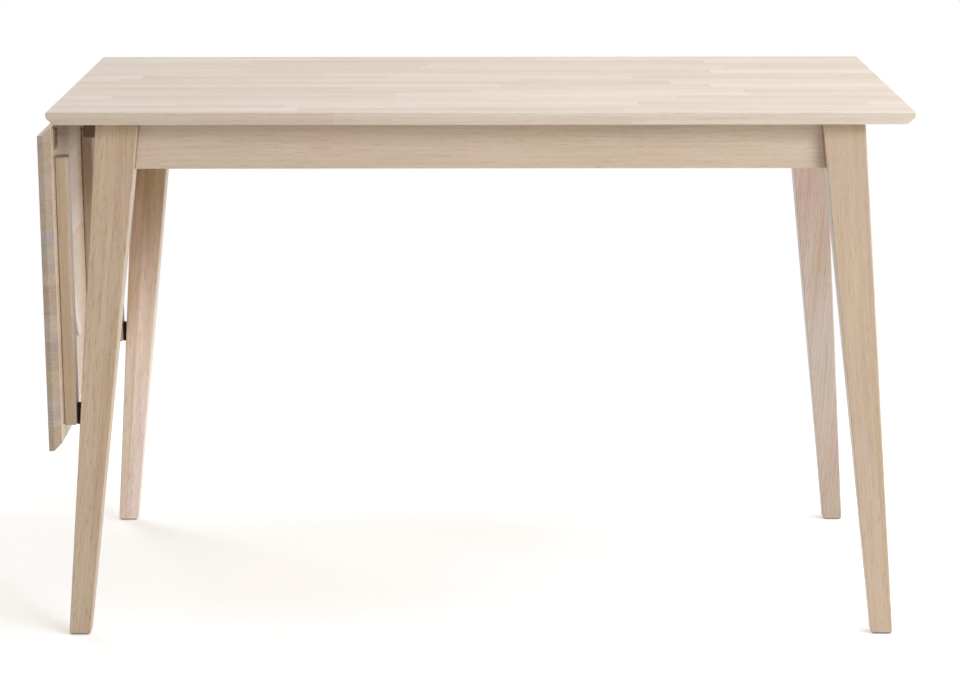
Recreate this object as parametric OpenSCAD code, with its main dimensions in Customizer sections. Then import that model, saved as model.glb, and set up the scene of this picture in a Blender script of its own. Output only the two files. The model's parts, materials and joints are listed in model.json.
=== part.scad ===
// Dining table with one drop leaf hinged at its left end.
// Frame: millimetres, +Z up, front at -Y, leaf at -X, origin on the floor
// under the middle of the box that holds the table with its leaf down.

/* [Table top] */
// Length of the fixed top
top_length = 1200; // [1080:10:1400]
// Width of the top and of the leaf
top_width = 800; // [720:10:960]
// Height of the top surface above the floor
table_height = 745; // [700:5:780]
// Thickness of the top and leaf boards
board_thickness = 18; // [17:0.5:22]
// Upright part of the board edge, above the bevel
edge_flat = 8; // [6:0.5:9]

/* [Drop leaf] */
// Length of the leaf, from the joint to its free end
leaf_length = 444; // [420:2:480]
// Gap between the top and the raised leaf
leaf_joint_gap = 1; // [0.8:0.1:1.6]

/* [Legs] */
// Side of the square leg under the top
leg_top = 60; // [56:1:64]
// Side of the square leg at the floor
leg_foot = 30; // [26:1:40]
// Distance from the top's edge to the leg, under the top
leg_inset_top = 62.5; // [56:0.5:70]
// Distance from the top's edge to the leg, at the floor
leg_inset_foot = 16.5; // [14:0.5:19]
// Chamfer around the sole of the foot
foot_chamfer = 4; // [2:0.5:6]

/* [Aprons] */
// Height of the aprons and the cross rail
apron_height = 70; // [62:1:84]
// Thickness of the aprons and the cross rail
apron_thickness = 20; // [18:0.5:22]
// Setback of the apron face behind the leg face
apron_recess = 20; // [18:0.5:22]

/* [Leaf battens] */
// Width of a batten
batten_width = 35; // [30:1:42]
// Thickness of a batten
batten_thickness = 18; // [16:0.5:20]
// Distance from the leaf's long edge to the outer battens
batten_edge_setback = 41; // [36:1:50]
// Distance from the hinge axis to the battens
batten_start = 45; // [42:1:60]
// Distance from the battens to the leaf's free end
batten_end_setback = 29; // [24:1:40]
// Chamfer on the batten arrises
batten_chamfer = 2; // [1:0.5:3]

/* [Support bars] */
// Width of a support bar
bar_width = 30; // [24:1:34]
// Height of a support bar
bar_height = 30; // [24:1:32]
// Distance from the top's long edge to the middle of a bar
bar_inset = 208; // [205:1:250]
// Distance from the top's end to the end of a pushed-in bar
bar_setback = 31.4; // [29:0.2:34]

/* [Leaf wedges] */
// Width of a wedge
wedge_width = 37; // [30:1:42]
// Length of a wedge
wedge_length = 63; // [56:1:76]
// Height of a wedge at its thick end
wedge_height = 9; // [7:0.5:11]
// Distance from the hinge axis to the wedge's thick end
wedge_reach = 323; // [300:1:340]

/* [Bumpers] */
// Height of a bumper on the hanging leaf
bumper_length = 28; // [20:1:32]
// Width of a bumper
bumper_width = 26; // [20:1:28]
// Thickness of a bumper
bumper_thickness = 4; // [3:0.2:5]

/* [Hinges] */
// Length of each hinge plate, from the hinge axis
hinge_plate_length = 35; // [30:1:38]
// Width of a hinge
hinge_width = 32; // [28:1:38]
// Thickness of the hinge plates
hinge_plate = 1.8; // [1.5:0.1:2]
// Radius of the hinge knuckles
knuckle_radius = 3.1; // [2.9:0.1:3.4]
// Radius of the hinge pins
pin_radius = 1.5; // [1.2:0.1:1.7]

/* [Fixings] */
// Diameter of the dowels in the leg joints
dowel_diameter = 10; // [8:0.5:11]
// Diameter of the leg bolts
bolt_diameter = 8; // [6:0.5:9]
// Side of the angle brackets under the top
bracket_side = 22; // [20:1:26]

/* [Hidden] */

// Facets of the round parts; all are true cylinders and cones
$fn = 48;
// Overshoot of cutting tools past the faces that they cut
cut = 1;

// Clearances
// Radial clearance of a fixing in its hole
fit = 0.05;
// Radial clearance of the turning knuckle on its pin
turning_fit = 0.08;
// Side clearance of a bar in its mortise
slide_gap = 0.5;
// Clearance between the resting bumpers and the legs
rest_gap = 0.3;
// Clearance between an apron's end and the leaning leg
butt_gap = 0.1;
// Gap between neighbouring knuckles
knuckle_gap = 0.4;

// Top board
half_length = top_length / 2;
half_width = top_width / 2;
bevel = board_thickness - edge_flat;
underside = table_height - board_thickness;

// Hinge axis, seen from the top's left end
knuckle_drop = knuckle_radius + rest_gap;
axis_past_bevel = 0.8;
axis_inset = bevel - axis_past_bevel;
axis_drop = board_thickness + knuckle_drop;
axis_x = axis_inset - half_length;
axis_z = table_height - axis_drop;

// Raised leaf, measured from the hinge axis
leaf_start = axis_inset + leaf_joint_gap;
leaf_end = leaf_start + leaf_length;
batten_end = leaf_end - batten_end_setback;
batten_face = knuckle_drop - batten_thickness;
batten_lane = half_width - batten_edge_setback - batten_width / 2;
lanes = [-batten_lane, 0, batten_lane];
bar_lane = half_width - bar_inset;

// Lean of the leg faces, in millimetres per millimetre of height
leg_lean_outer = (leg_inset_top - leg_inset_foot) / underside;
leg_lean_inner = (leg_inset_top + leg_top - leg_inset_foot - leg_foot) / underside;

// Angle at which the bumpers rest on the legs, past the upright
rest_height = axis_z - batten_end;
leg_outer_at_rest = half_length - leg_inset_top + leg_lean_outer * (underside - rest_height);
room_at_rest = -axis_x - leg_outer_at_rest - rest_gap;
hang_tilt = asin((room_at_rest + batten_face - bumper_thickness) / batten_end);

// Reach of the hanging leaf past the top's end, which shifts the table in its box
leaf_proud = axis_drop * cos(hang_tilt) - leaf_start * sin(hang_tilt) - axis_inset;
frame_shift = leaf_proud / 2;

// Aprons and rail, as distances from the middle of the table
apron_top = underside;
apron_bottom = underside - apron_height;
leg_face_x = half_length - leg_inset_top;
leg_face_y = half_width - leg_inset_top;
leg_back_x = leg_face_x - leg_top;
leg_back_y = leg_face_y - leg_top;
apron_face_x = leg_face_x - apron_recess;
apron_face_y = leg_face_y - apron_recess;
apron_back_x = apron_face_x - apron_thickness;
apron_back_y = apron_face_y - apron_thickness;

// Support bars
bar_top = underside - wedge_height - rest_gap;
bar_middle_z = bar_top - bar_height / 2;
bar_end = half_length - bar_setback;
bar_reach = wedge_reach - (bar_end + axis_x);
stop_pin_inset = 14;
stop_pin_diameter = 8;
stop_pin_below = 12;
stop_pin_in_bar = 18;
bar_arris = 1.5;

// Cross rail, clear of the corner blocks
block_reach = 58;
block_depth = 20;
block_height = 50;
block_clear = 7;
rail_clear = 20;
rail_face_x = leg_back_x - block_reach - rail_clear;
bar_length = bar_end - rail_face_x + apron_thickness + bar_reach + stop_pin_inset + stop_pin_diameter / 2 + 1;

// Leg bolts run level on the diagonal of each corner
bolt_height = apron_bottom + apron_height / 2;
bolt_in_leg = 38;
bolt_past_block = 15;
washer_diameter = 20;
washer_thickness = 2;
nut_width = 13;
nut_thickness = 6.5;

// Dowels
dowel_spread = 17;
dowel_in_apron = 25;
rail_dowel_in_apron = 12;
dowel_chamfer = 1;
// Wood left between the ends of the two aprons' dowels in a leg
dowel_wall = 2.4;
dowel_heights = [bolt_height - dowel_spread, bolt_height + dowel_spread];
dowel_lean = leg_lean_inner * (underside - dowel_heights[0]);
dowel_room = leg_top - apron_recess - (apron_thickness + dowel_diameter) / 2 - 2 * fit;
dowel_in_leg = dowel_room - dowel_lean - dowel_wall;

// Angle brackets
bracket_width = 18;
bracket_thickness = 2;
bracket_hole = 13;
bracket_lane = 230;
bracket_screw = 4;
bracket_screw_length = 14;
bracket_head = 8;
bracket_head_height = 2.4;

// Hinge screws
hinge_screw = 3.5;
hinge_head = 6.6;
hinge_screw_length = 10;
hinge_head_proud = 0.6;
hinge_screw_near = 9.5;
hinge_screw_far_margin = 6;
hinge_screw_lane = 9;
plate_start = 1;
plate_clear = 3.7;
pin_short = 0.5;
hinge_outer_knuckle = hinge_width * 0.3;

// Batten, wedge and bumper screws
batten_screw = 4;
batten_head = 8;
batten_screw_in_leaf = 10;
batten_screw_first = 30;
batten_screw_last = 50;
batten_screw_count = 4;
wedge_screws_back = [11, 26];
wedge_screw_sunk = 1.2;
wedge_screw_length = 14;
bumper_screw_sunk = 1.4;
bumper_screw_length = 15;
bumper_corner = 3;
slot_width = 0.9;
slot_depth = 1;

oak = [0.87, 0.8, 0.7];
beech = [0.72, 0.55, 0.4];
steel = [0.72, 0.73, 0.75];
brass = [0.72, 0.6, 0.36];
black = [0.08, 0.08, 0.08];

// Puts the middle of the table in its place in the shared frame
module in_frame() {
    translate([frame_shift, 0, 0])
        children();
}

// Takes a piece drawn on the raised leaf, measured from the hinge axis, to the hanging leaf
module on_leaf() {
    in_frame()
        translate([axis_x, 0, axis_z])
            rotate([0, -(90 + hang_tilt), 0])
                children();
}

// Block with its arrises chamfered, from the origin
module chamfered_box(size, chamfer) {
    intersection() {
        linear_extrude(size[2])
            chamfered_rectangle(size[0], size[1], chamfer);
        translate([0, size[1], 0])
            rotate([90, 0, 0])
                linear_extrude(size[1])
                    chamfered_rectangle(size[0], size[2], chamfer);
        rotate([90, 0, 90])
            linear_extrude(size[0])
                chamfered_rectangle(size[1], size[2], chamfer);
    }
}

module chamfered_rectangle(length, width, chamfer) {
    polygon([
        [chamfer, 0], [length - chamfer, 0], [length, chamfer], [length, width - chamfer],
        [length - chamfer, width], [chamfer, width], [0, width - chamfer], [0, chamfer]
    ]);
}

// Extrudes a profile drawn in X and Z along Y, to both sides of the middle
module along_y(width) {
    translate([0, width / 2, 0])
        rotate([90, 0, 0])
            linear_extrude(width)
                children();
}

// Extrudes a profile drawn in Y and Z along X, to both sides of the middle
module along_x(length) {
    translate([-length / 2, 0, 0])
        rotate([90, 0, 90])
            linear_extrude(length)
                children();
}

// Countersunk screw: its head's face is at the origin and its point is up
module countersunk_screw(diameter, head, length, proud) {
    sink = (head - diameter) / 2;
    difference() {
        union() {
            translate([0, 0, -proud])
                cylinder(h = proud + 0.4, d1 = head - 2 * proud, d2 = head);
            translate([0, 0, 0.4])
                cylinder(h = sink, d1 = head, d2 = diameter);
            cylinder(h = length - diameter, d = diameter);
            translate([0, 0, length - diameter])
                cylinder(h = diameter, d1 = diameter, d2 = diameter / 5);
        }
        for (turn = [0, 90])
            rotate([0, 0, turn])
                translate([-head / 4, -slot_width / 2, -proud - cut])
                    cube([head / 2, slot_width, cut + slot_depth]);
    }
}

// Hole for a countersunk screw, open towards the driver
module countersunk_hole(diameter, head, length, open) {
    sink = (head - diameter) / 2;
    translate([0, 0, -open])
        cylinder(h = open + 0.4 + fit, d = head + 2 * fit);
    translate([0, 0, 0.4 + fit])
        cylinder(h = sink, d1 = head + 2 * fit, d2 = diameter + 2 * fit);
    cylinder(h = length + fit, d = diameter + 2 * fit);
}

// Pan-head screw: the head's seat is at the origin and its point is up
module pan_screw(diameter, head, head_height, length) {
    difference() {
        union() {
            translate([0, 0, -head_height])
                cylinder(h = 1, d1 = head - 2, d2 = head);
            translate([0, 0, 1 - head_height])
                cylinder(h = head_height - 1, d = head);
            cylinder(h = length - diameter, d = diameter);
            translate([0, 0, length - diameter])
                cylinder(h = diameter, d1 = diameter, d2 = diameter / 5);
        }
        for (turn = [0, 90])
            rotate([0, 0, turn])
                translate([-head / 4, -slot_width / 2, -head_height - cut])
                    cube([head / 2, slot_width, cut + slot_depth]);
    }
}

module dowel(length) {
    cylinder(h = dowel_chamfer, d1 = dowel_diameter - 2 * dowel_chamfer, d2 = dowel_diameter);
    translate([0, 0, dowel_chamfer])
        cylinder(h = length - 2 * dowel_chamfer, d = dowel_diameter);
    translate([0, 0, length - dowel_chamfer])
        cylinder(h = dowel_chamfer, d1 = dowel_diameter, d2 = dowel_diameter - 2 * dowel_chamfer);
}

module dowel_hole(length) {
    translate([0, 0, -fit])
        cylinder(h = length + 2 * fit, d = dowel_diameter + 2 * fit);
}

// Repeats a piece of the front corner at the leaf end in all four corners
module each_corner() {
    for (x = [0, 1], y = [0, 1])
        mirror([x, 0, 0])
            mirror([0, y, 0])
                children();
}

// --- Leg joints, drawn in the front corner at the leaf end ---

// Distance from the middle at which the leg's back face stands at a height
function leg_back_at(back, z) = back + leg_lean_inner * (underside - z);

// Places for the dowels of the long apron and the end apron in one leg
module corner_dowels() {
    for (z = dowel_heights) {
        translate([-leg_back_at(leg_back_x, z) - dowel_in_leg, -apron_face_y + apron_thickness / 2, z])
            rotate([0, 90, 0])
                children();
        translate([-apron_face_x + apron_thickness / 2, -leg_back_at(leg_back_y, z) - dowel_in_leg, z])
            rotate([-90, 0, 0])
                children();
    }
}

// Places for the dowels of one end of the cross rail
module rail_end_dowels() {
    for (z = dowel_heights)
        translate([-rail_face_x + apron_thickness / 2, -apron_back_y - rail_dowel_in_apron, z])
            rotate([-90, 0, 0])
                children();
}

// Puts a piece on the bolt's axis, measured from the leg's back arris at the bolt
module on_bolt_axis() {
    translate([-leg_back_at(leg_back_x, bolt_height), -leg_back_at(leg_back_y, bolt_height), bolt_height])
        rotate([0, 0, 45])
            rotate([0, 90, 0])
                children();
}

// Distances along the bolt's axis from the leg's arris to the block's faces
arris_lean = leg_back_at(0, bolt_height) * sqrt(2);
block_near = arris_lean + block_clear;
block_far = block_near + block_depth;

module leg_profile(half, back_half) {
    foot_out = half + leg_inset_top - leg_inset_foot;
    foot_in = foot_out - leg_foot;
    lean_out = leg_lean_outer * foot_chamfer;
    lean_in = leg_lean_inner * foot_chamfer;
    polygon([
        [-half, underside], [-back_half, underside],
        [-foot_in + lean_in, foot_chamfer], [-foot_in - foot_chamfer, 0],
        [-foot_out + foot_chamfer, 0], [-foot_out + lean_out, foot_chamfer]
    ]);
}

module leg() {
    difference() {
        intersection() {
            along_y(top_width + top_length)
                leg_profile(leg_face_x, leg_back_x);
            along_x(top_width + top_length)
                leg_profile(leg_face_y, leg_back_y);
        }
        corner_dowels()
            dowel_hole(dowel_in_leg + dowel_in_apron);
        on_bolt_axis()
            translate([0, 0, -bolt_in_leg - fit])
                cylinder(h = bolt_in_leg * 2, d = bolt_diameter + 2 * fit);
    }
}

module corner_block() {
    near = leg_back_x + leg_back_y - block_clear * sqrt(2);
    far = near - block_depth * sqrt(2);
    difference() {
        translate([0, 0, bolt_height - block_height / 2])
            linear_extrude(block_height)
                polygon([
                    [apron_back_y - near, -apron_back_y], [apron_back_y - far, -apron_back_y],
                    [-apron_back_x, apron_back_x - far], [-apron_back_x, apron_back_x - near]
                ]);
        on_bolt_axis()
            cylinder(h = 2 * block_far, d = bolt_diameter + 1);
    }
}

// --- Aprons ---

// Side view of an apron whose ends lean with the legs
module apron_profile(back) {
    top_half = back - butt_gap;
    bottom_half = leg_back_at(back, apron_bottom) - butt_gap;
    polygon([
        [-top_half, apron_top], [top_half, apron_top],
        [bottom_half, apron_bottom], [-bottom_half, apron_bottom]
    ]);
}

// Through mortises of the two support bars, in a piece set across them
module bar_mortises(x, thickness) {
    for (side = [-1, 1])
        translate([x - cut, side * bar_lane - bar_width / 2 - slide_gap, bar_top - bar_height - slide_gap])
            cube([thickness + 2 * cut, bar_width + 2 * slide_gap, bar_height + 2 * slide_gap]);
}

module long_apron() {
    difference() {
        translate([0, -apron_face_y + apron_thickness / 2, 0])
            along_y(apron_thickness)
                apron_profile(leg_back_x);
        for (x = [0, 1])
            mirror([x, 0, 0])
                corner_dowels()
                    dowel_hole(dowel_in_leg + dowel_in_apron);
        rail_end_dowels()
            dowel_hole(rail_dowel_in_apron + dowel_in_apron);
        long_bracket_screws();
    }
}

module end_apron() {
    difference() {
        translate([-apron_face_x + apron_thickness / 2, 0, 0])
            along_x(apron_thickness)
                apron_profile(leg_back_y);
        for (y = [0, 1])
            mirror([0, y, 0])
                corner_dowels()
                    dowel_hole(dowel_in_leg + dowel_in_apron);
        end_bracket_screws();
    }
}

// --- Angle brackets between the aprons and the top ---

module bracket() {
    difference() {
        union() {
            translate([0, -bracket_width / 2, -bracket_thickness])
                cube([bracket_side, bracket_width, bracket_thickness]);
            translate([0, -bracket_width / 2, -bracket_side])
                cube([bracket_thickness, bracket_width, bracket_side]);
        }
        translate([bracket_hole, 0, -bracket_side])
            cylinder(h = bracket_side + cut, d = bracket_screw + 2 * fit);
        translate([-cut, 0, -bracket_hole])
            rotate([0, 90, 0])
                cylinder(h = bracket_side, d = bracket_screw + 2 * fit);
    }
}

// The bracket's screw into the apron and its screw into the top
module bracket_fixing(apron_screw, top_screw) {
    if (top_screw)
        translate([bracket_hole, 0, -bracket_thickness])
            children();
    if (apron_screw)
        translate([bracket_thickness, 0, -bracket_hole])
            rotate([0, -90, 0])
                children();
}

module long_bracket_places() {
    for (x = [-bracket_lane, bracket_lane])
        translate([x, -apron_back_y, underside])
            rotate([0, 0, 90])
                children();
}

module end_bracket_place() {
    translate([-apron_back_x, 0, underside])
        children();
}

module bracket_screw_hole() {
    cylinder(h = bracket_screw_length + fit, d = bracket_screw + 2 * fit);
}

module long_bracket_screws() {
    long_bracket_places()
        bracket_fixing(true, false)
            bracket_screw_hole();
}

module end_bracket_screws() {
    end_bracket_place()
        bracket_fixing(true, false)
            bracket_screw_hole();
}

// All six brackets' places
module every_bracket() {
    for (y = [0, 1])
        mirror([0, y, 0])
            long_bracket_places()
                children();
    for (x = [0, 1])
        mirror([x, 0, 0])
            end_bracket_place()
                children();
}

// --- Hinges, drawn from the hinge axis with the plate towards +X ---

hinge_screw_places = [
    [hinge_screw_near, -hinge_screw_lane], [hinge_screw_near, hinge_screw_lane],
    [hinge_plate_length - hinge_screw_far_margin, -hinge_screw_lane],
    [hinge_plate_length - hinge_screw_far_margin, hinge_screw_lane]
];

module hinge_screw_set() {
    for (place = hinge_screw_places)
        translate([place[0], place[1], knuckle_drop - hinge_plate])
            children();
}

// Plate with knuckles over the given stretches of the hinge's width
module hinge_half(stretches, bore) {
    difference() {
        union() {
            translate([plate_clear, -hinge_width / 2, knuckle_drop - hinge_plate])
                cube([hinge_plate_length - plate_clear, hinge_width, hinge_plate]);
            for (stretch = stretches) {
                translate([plate_start, stretch[0], knuckle_drop - hinge_plate])
                    cube([plate_clear, stretch[1] - stretch[0], hinge_plate]);
                translate([0, stretch[0], 0])
                    rotate([-90, 0, 0])
                        cylinder(h = stretch[1] - stretch[0], r = knuckle_radius);
            }
        }
        translate([0, -hinge_width / 2 - cut, 0])
            rotate([-90, 0, 0])
                cylinder(h = hinge_width + 2 * cut, r = pin_radius + bore);
        hinge_screw_set()
            countersunk_hole(hinge_screw, hinge_head, hinge_screw_length, cut);
    }
}

module hinge_top_half() {
    hinge_half([
        [-hinge_width / 2, -hinge_width / 2 + hinge_outer_knuckle],
        [hinge_width / 2 - hinge_outer_knuckle, hinge_width / 2]
    ], fit);
}

module hinge_leaf_half() {
    inner = hinge_width / 2 - hinge_outer_knuckle - knuckle_gap;
    rotate([0, 0, 180])
        hinge_half([[-inner, inner]], turning_fit);
}

module hinge_pin() {
    length = hinge_width - 2 * pin_short;
    translate([0, -length / 2, 0])
        rotate([-90, 0, 0])
            cylinder(h = length, r = pin_radius);
}

module at_axis(lane) {
    in_frame()
        translate([axis_x, lane, axis_z])
            children();
}

// --- Leaf pieces, drawn on the raised leaf from the hinge axis ---

module batten_screw_places() {
    stretch = batten_end - batten_start - batten_screw_first - batten_screw_last;
    for (lane = lanes, i = [0 : batten_screw_count - 1])
        translate([-batten_start - batten_screw_first - i * stretch / (batten_screw_count - 1), lane, batten_face])
            children();
}

module wedge_screw_places() {
    for (side = [-1, 1], back = wedge_screws_back) {
        height = wedge_height * (wedge_length - back) / wedge_length;
        translate([back - wedge_reach, side * bar_lane, knuckle_drop - height + wedge_screw_sunk])
            children();
    }
}

module bumper_screw_places() {
    for (lane = [-batten_lane, batten_lane])
        translate([bumper_length / 2 - batten_end, lane, batten_face - bumper_thickness + bumper_screw_sunk])
            children();
}

module batten_fixing_hole() {
    countersunk_hole(batten_screw, batten_head, batten_thickness + batten_screw_in_leaf, cut);
}

module wedge_fixing_hole() {
    countersunk_hole(hinge_screw, hinge_head, wedge_screw_length, wedge_height);
}

module bumper_fixing_hole() {
    countersunk_hole(hinge_screw, hinge_head, bumper_screw_length, bumper_thickness);
}

module batten(lane) {
    color(oak)
        on_leaf()
            difference() {
                translate([-batten_end, lane - batten_width / 2, batten_face])
                    chamfered_box([batten_end - batten_start, batten_width, batten_thickness], batten_chamfer);
                batten_screw_places()
                    batten_fixing_hole();
                bumper_screw_places()
                    bumper_fixing_hole();
            }
}

module wedge(side) {
    color(oak)
        on_leaf()
            difference() {
                translate([-wedge_reach, side * bar_lane, knuckle_drop])
                    along_y(wedge_width)
                        polygon([[0, 0], [wedge_length, 0], [0, -wedge_height]]);
                wedge_screw_places()
                    wedge_fixing_hole();
            }
}

module bumper(lane) {
    color(black)
        on_leaf()
            difference() {
                translate([-batten_end, lane - bumper_width / 2, batten_face - bumper_thickness])
                    linear_extrude(bumper_thickness)
                        chamfered_rectangle(bumper_length, bumper_width, bumper_corner);
                bumper_screw_places()
                    bumper_fixing_hole();
            }
}

module support_bar(side) {
    color(beech)
        in_frame()
            difference() {
                translate([-bar_end, side * bar_lane - bar_width / 2, bar_top - bar_height])
                    chamfered_box([bar_length, bar_width, bar_height], bar_arris);
                stop_pin_place(side)
                    translate([0, 0, -stop_pin_below])
                        cylinder(h = stop_pin_below + stop_pin_in_bar + fit, d = stop_pin_diameter + 2 * fit);
            }
}

module stop_pin_place(side) {
    translate([bar_length - bar_end - stop_pin_inset, side * bar_lane, bar_top - bar_height])
        children();
}

module stop_pin(side) {
    color(beech)
        in_frame()
            stop_pin_place(side)
                translate([0, 0, -stop_pin_below])
                    cylinder(h = stop_pin_below + stop_pin_in_bar, d = stop_pin_diameter);
}

// --- Nodes ---

module table_top() {
    color(oak)
        in_frame()
            difference() {
                intersection() {
                    along_y(top_width)
                        board_profile(half_length);
                    along_x(top_length)
                        board_profile(half_width);
                }
                every_bracket()
                    bracket_fixing(false, true)
                        bracket_screw_hole();
                for (lane = lanes)
                    translate([axis_x, lane, axis_z])
                        hinge_screw_set()
                            cylinder(h = hinge_screw_length + fit, d = hinge_screw + 2 * fit);
            }
}

module board_profile(half) {
    polygon([
        [-half, table_height], [half, table_height], [half, table_height - edge_flat],
        [half - bevel, underside], [bevel - half, underside], [-half, table_height - edge_flat]
    ]);
}

module front_apron() {
    color(oak)
        in_frame()
            long_apron();
}

module rear_apron() {
    color(oak)
        in_frame()
            mirror([0, 1, 0])
                long_apron();
}

module leaf_end_apron() {
    color(oak)
        in_frame()
            difference() {
                end_apron();
                bar_mortises(-apron_face_x, apron_thickness);
            }
}

module plain_end_apron() {
    color(oak)
        in_frame()
            mirror([1, 0, 0])
                end_apron();
}

module cross_rail() {
    length = 2 * apron_back_y;
    color(oak)
        in_frame()
            difference() {
                translate([-rail_face_x, -length / 2, apron_bottom])
                    cube([apron_thickness, length, apron_height]);
                bar_mortises(-rail_face_x, apron_thickness);
                for (y = [0, 1])
                    mirror([0, y, 0])
                        rail_end_dowels()
                            dowel_hole(rail_dowel_in_apron + dowel_in_apron);
            }
}

module leg_front_leaf() {
    color(oak)
        in_frame()
            leg();
}

module leg_rear_leaf() {
    color(oak)
        in_frame()
            mirror([0, 1, 0])
                leg();
}

module leg_front_plain() {
    color(oak)
        in_frame()
            mirror([1, 0, 0])
                leg();
}

module leg_rear_plain() {
    color(oak)
        in_frame()
            mirror([1, 0, 0])
                mirror([0, 1, 0])
                    leg();
}

module block_front_leaf() {
    color(beech)
        in_frame()
            corner_block();
}

module block_rear_leaf() {
    color(beech)
        in_frame()
            mirror([0, 1, 0])
                corner_block();
}

module block_front_plain() {
    color(beech)
        in_frame()
            mirror([1, 0, 0])
                corner_block();
}

module block_rear_plain() {
    color(beech)
        in_frame()
            mirror([1, 0, 0])
                mirror([0, 1, 0])
                    corner_block();
}

module leg_bolts() {
    color(steel)
        in_frame()
            each_corner()
                on_bolt_axis()
                    translate([0, 0, -bolt_in_leg])
                        cylinder(h = bolt_in_leg + block_far + bolt_past_block, d = bolt_diameter);
}

module leg_washers() {
    color(steel)
        in_frame()
            each_corner()
                on_bolt_axis()
                    translate([0, 0, block_far])
                        difference() {
                            cylinder(h = washer_thickness, d = washer_diameter);
                            translate([0, 0, -cut])
                                cylinder(h = washer_thickness + 2 * cut, d = bolt_diameter + 4 * fit);
                        }
}

module leg_nuts() {
    color(steel)
        in_frame()
            each_corner()
                on_bolt_axis()
                    translate([0, 0, block_far + washer_thickness])
                        difference() {
                            cylinder(h = nut_thickness, d = nut_width / cos(30), $fn = 6);
                            translate([0, 0, -cut])
                                cylinder(h = nut_thickness + 2 * cut, d = bolt_diameter + 2 * fit);
                        }
}

module apron_dowels() {
    color(beech)
        in_frame()
            each_corner()
                corner_dowels()
                    dowel(dowel_in_leg + dowel_in_apron);
}

module rail_dowels() {
    color(beech)
        in_frame()
            for (y = [0, 1])
                mirror([0, y, 0])
                    rail_end_dowels()
                        dowel(rail_dowel_in_apron + dowel_in_apron);
}

module top_brackets() {
    color(steel)
        in_frame()
            every_bracket()
                bracket();
}

module bracket_screws() {
    color(steel)
        in_frame()
            every_bracket()
                bracket_fixing(true, true)
                    pan_screw(bracket_screw, bracket_head, bracket_head_height, bracket_screw_length);
}

module hinge_top_front() {
    color(brass)
        at_axis(lanes[0])
            hinge_top_half();
}

module hinge_top_middle() {
    color(brass)
        at_axis(lanes[1])
            hinge_top_half();
}

module hinge_top_rear() {
    color(brass)
        at_axis(lanes[2])
            hinge_top_half();
}

module hinge_pin_front() {
    color(steel)
        at_axis(lanes[0])
            hinge_pin();
}

module hinge_pin_middle() {
    color(steel)
        at_axis(lanes[1])
            hinge_pin();
}

module hinge_pin_rear() {
    color(steel)
        at_axis(lanes[2])
            hinge_pin();
}

module hinge_top_screws() {
    color(brass)
        for (lane = lanes)
            at_axis(lane)
                hinge_screw_set()
                    countersunk_screw(hinge_screw, hinge_head, hinge_screw_length, hinge_head_proud);
}

module drop_leaf() {
    color(oak)
        on_leaf()
            difference() {
                intersection() {
                    along_y(top_width)
                        polygon([
                            [-leaf_start, axis_drop], [-leaf_start, axis_drop - edge_flat],
                            [bevel - leaf_start, knuckle_drop], [bevel - leaf_end, knuckle_drop],
                            [-leaf_end, axis_drop - edge_flat], [-leaf_end, axis_drop]
                        ]);
                    translate([0, 0, axis_drop - table_height])
                        along_x(2 * leaf_end)
                            board_profile(half_width);
                }
                batten_screw_places()
                    batten_fixing_hole();
                wedge_screw_places()
                    wedge_fixing_hole();
                for (lane = lanes)
                    translate([0, lane, 0])
                        rotate([0, 0, 180])
                            hinge_screw_set()
                                cylinder(h = hinge_screw_length + fit, d = hinge_screw + 2 * fit);
            }
}

module batten_front() {
    batten(lanes[0]);
}

module batten_middle() {
    batten(lanes[1]);
}

module batten_rear() {
    batten(lanes[2]);
}

module batten_screws() {
    color(steel)
        on_leaf()
            batten_screw_places()
                countersunk_screw(batten_screw, batten_head, batten_thickness + batten_screw_in_leaf, 0);
}

module wedge_front() {
    wedge(-1);
}

module wedge_rear() {
    wedge(1);
}

module wedge_screws() {
    color(steel)
        on_leaf()
            wedge_screw_places()
                countersunk_screw(hinge_screw, hinge_head, wedge_screw_length, 0);
}

module bumper_front() {
    bumper(lanes[0]);
}

module bumper_rear() {
    bumper(lanes[2]);
}

module bumper_screws() {
    color(steel)
        on_leaf()
            bumper_screw_places()
                countersunk_screw(hinge_screw, hinge_head, bumper_screw_length, 0);
}

module hinge_leaf_front() {
    color(brass)
        on_leaf()
            translate([0, lanes[0], 0])
                hinge_leaf_half();
}

module hinge_leaf_middle() {
    color(brass)
        on_leaf()
            translate([0, lanes[1], 0])
                hinge_leaf_half();
}

module hinge_leaf_rear() {
    color(brass)
        on_leaf()
            translate([0, lanes[2], 0])
                hinge_leaf_half();
}

module hinge_leaf_screws() {
    color(brass)
        on_leaf()
            for (lane = lanes)
                translate([0, lane, 0])
                    rotate([0, 0, 180])
                        hinge_screw_set()
                            countersunk_screw(hinge_screw, hinge_head, hinge_screw_length, hinge_head_proud);
}

module support_bar_front() {
    support_bar(-1);
}

module support_bar_rear() {
    support_bar(1);
}

module stop_pin_front() {
    stop_pin(-1);
}

module stop_pin_rear() {
    stop_pin(1);
}

table_top();
front_apron();
rear_apron();
leaf_end_apron();
plain_end_apron();
cross_rail();
leg_front_leaf();
leg_rear_leaf();
leg_front_plain();
leg_rear_plain();
block_front_leaf();
block_rear_leaf();
block_front_plain();
block_rear_plain();
leg_bolts();
leg_washers();
leg_nuts();
apron_dowels();
rail_dowels();
top_brackets();
bracket_screws();
hinge_top_front();
hinge_top_middle();
hinge_top_rear();
hinge_pin_front();
hinge_pin_middle();
hinge_pin_rear();
hinge_top_screws();
drop_leaf();
batten_front();
batten_middle();
batten_rear();
batten_screws();
wedge_front();
wedge_rear();
wedge_screws();
bumper_front();
bumper_rear();
bumper_screws();
hinge_leaf_front();
hinge_leaf_middle();
hinge_leaf_rear();
hinge_leaf_screws();
support_bar_front();
support_bar_rear();
stop_pin_front();
stop_pin_rear();
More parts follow.
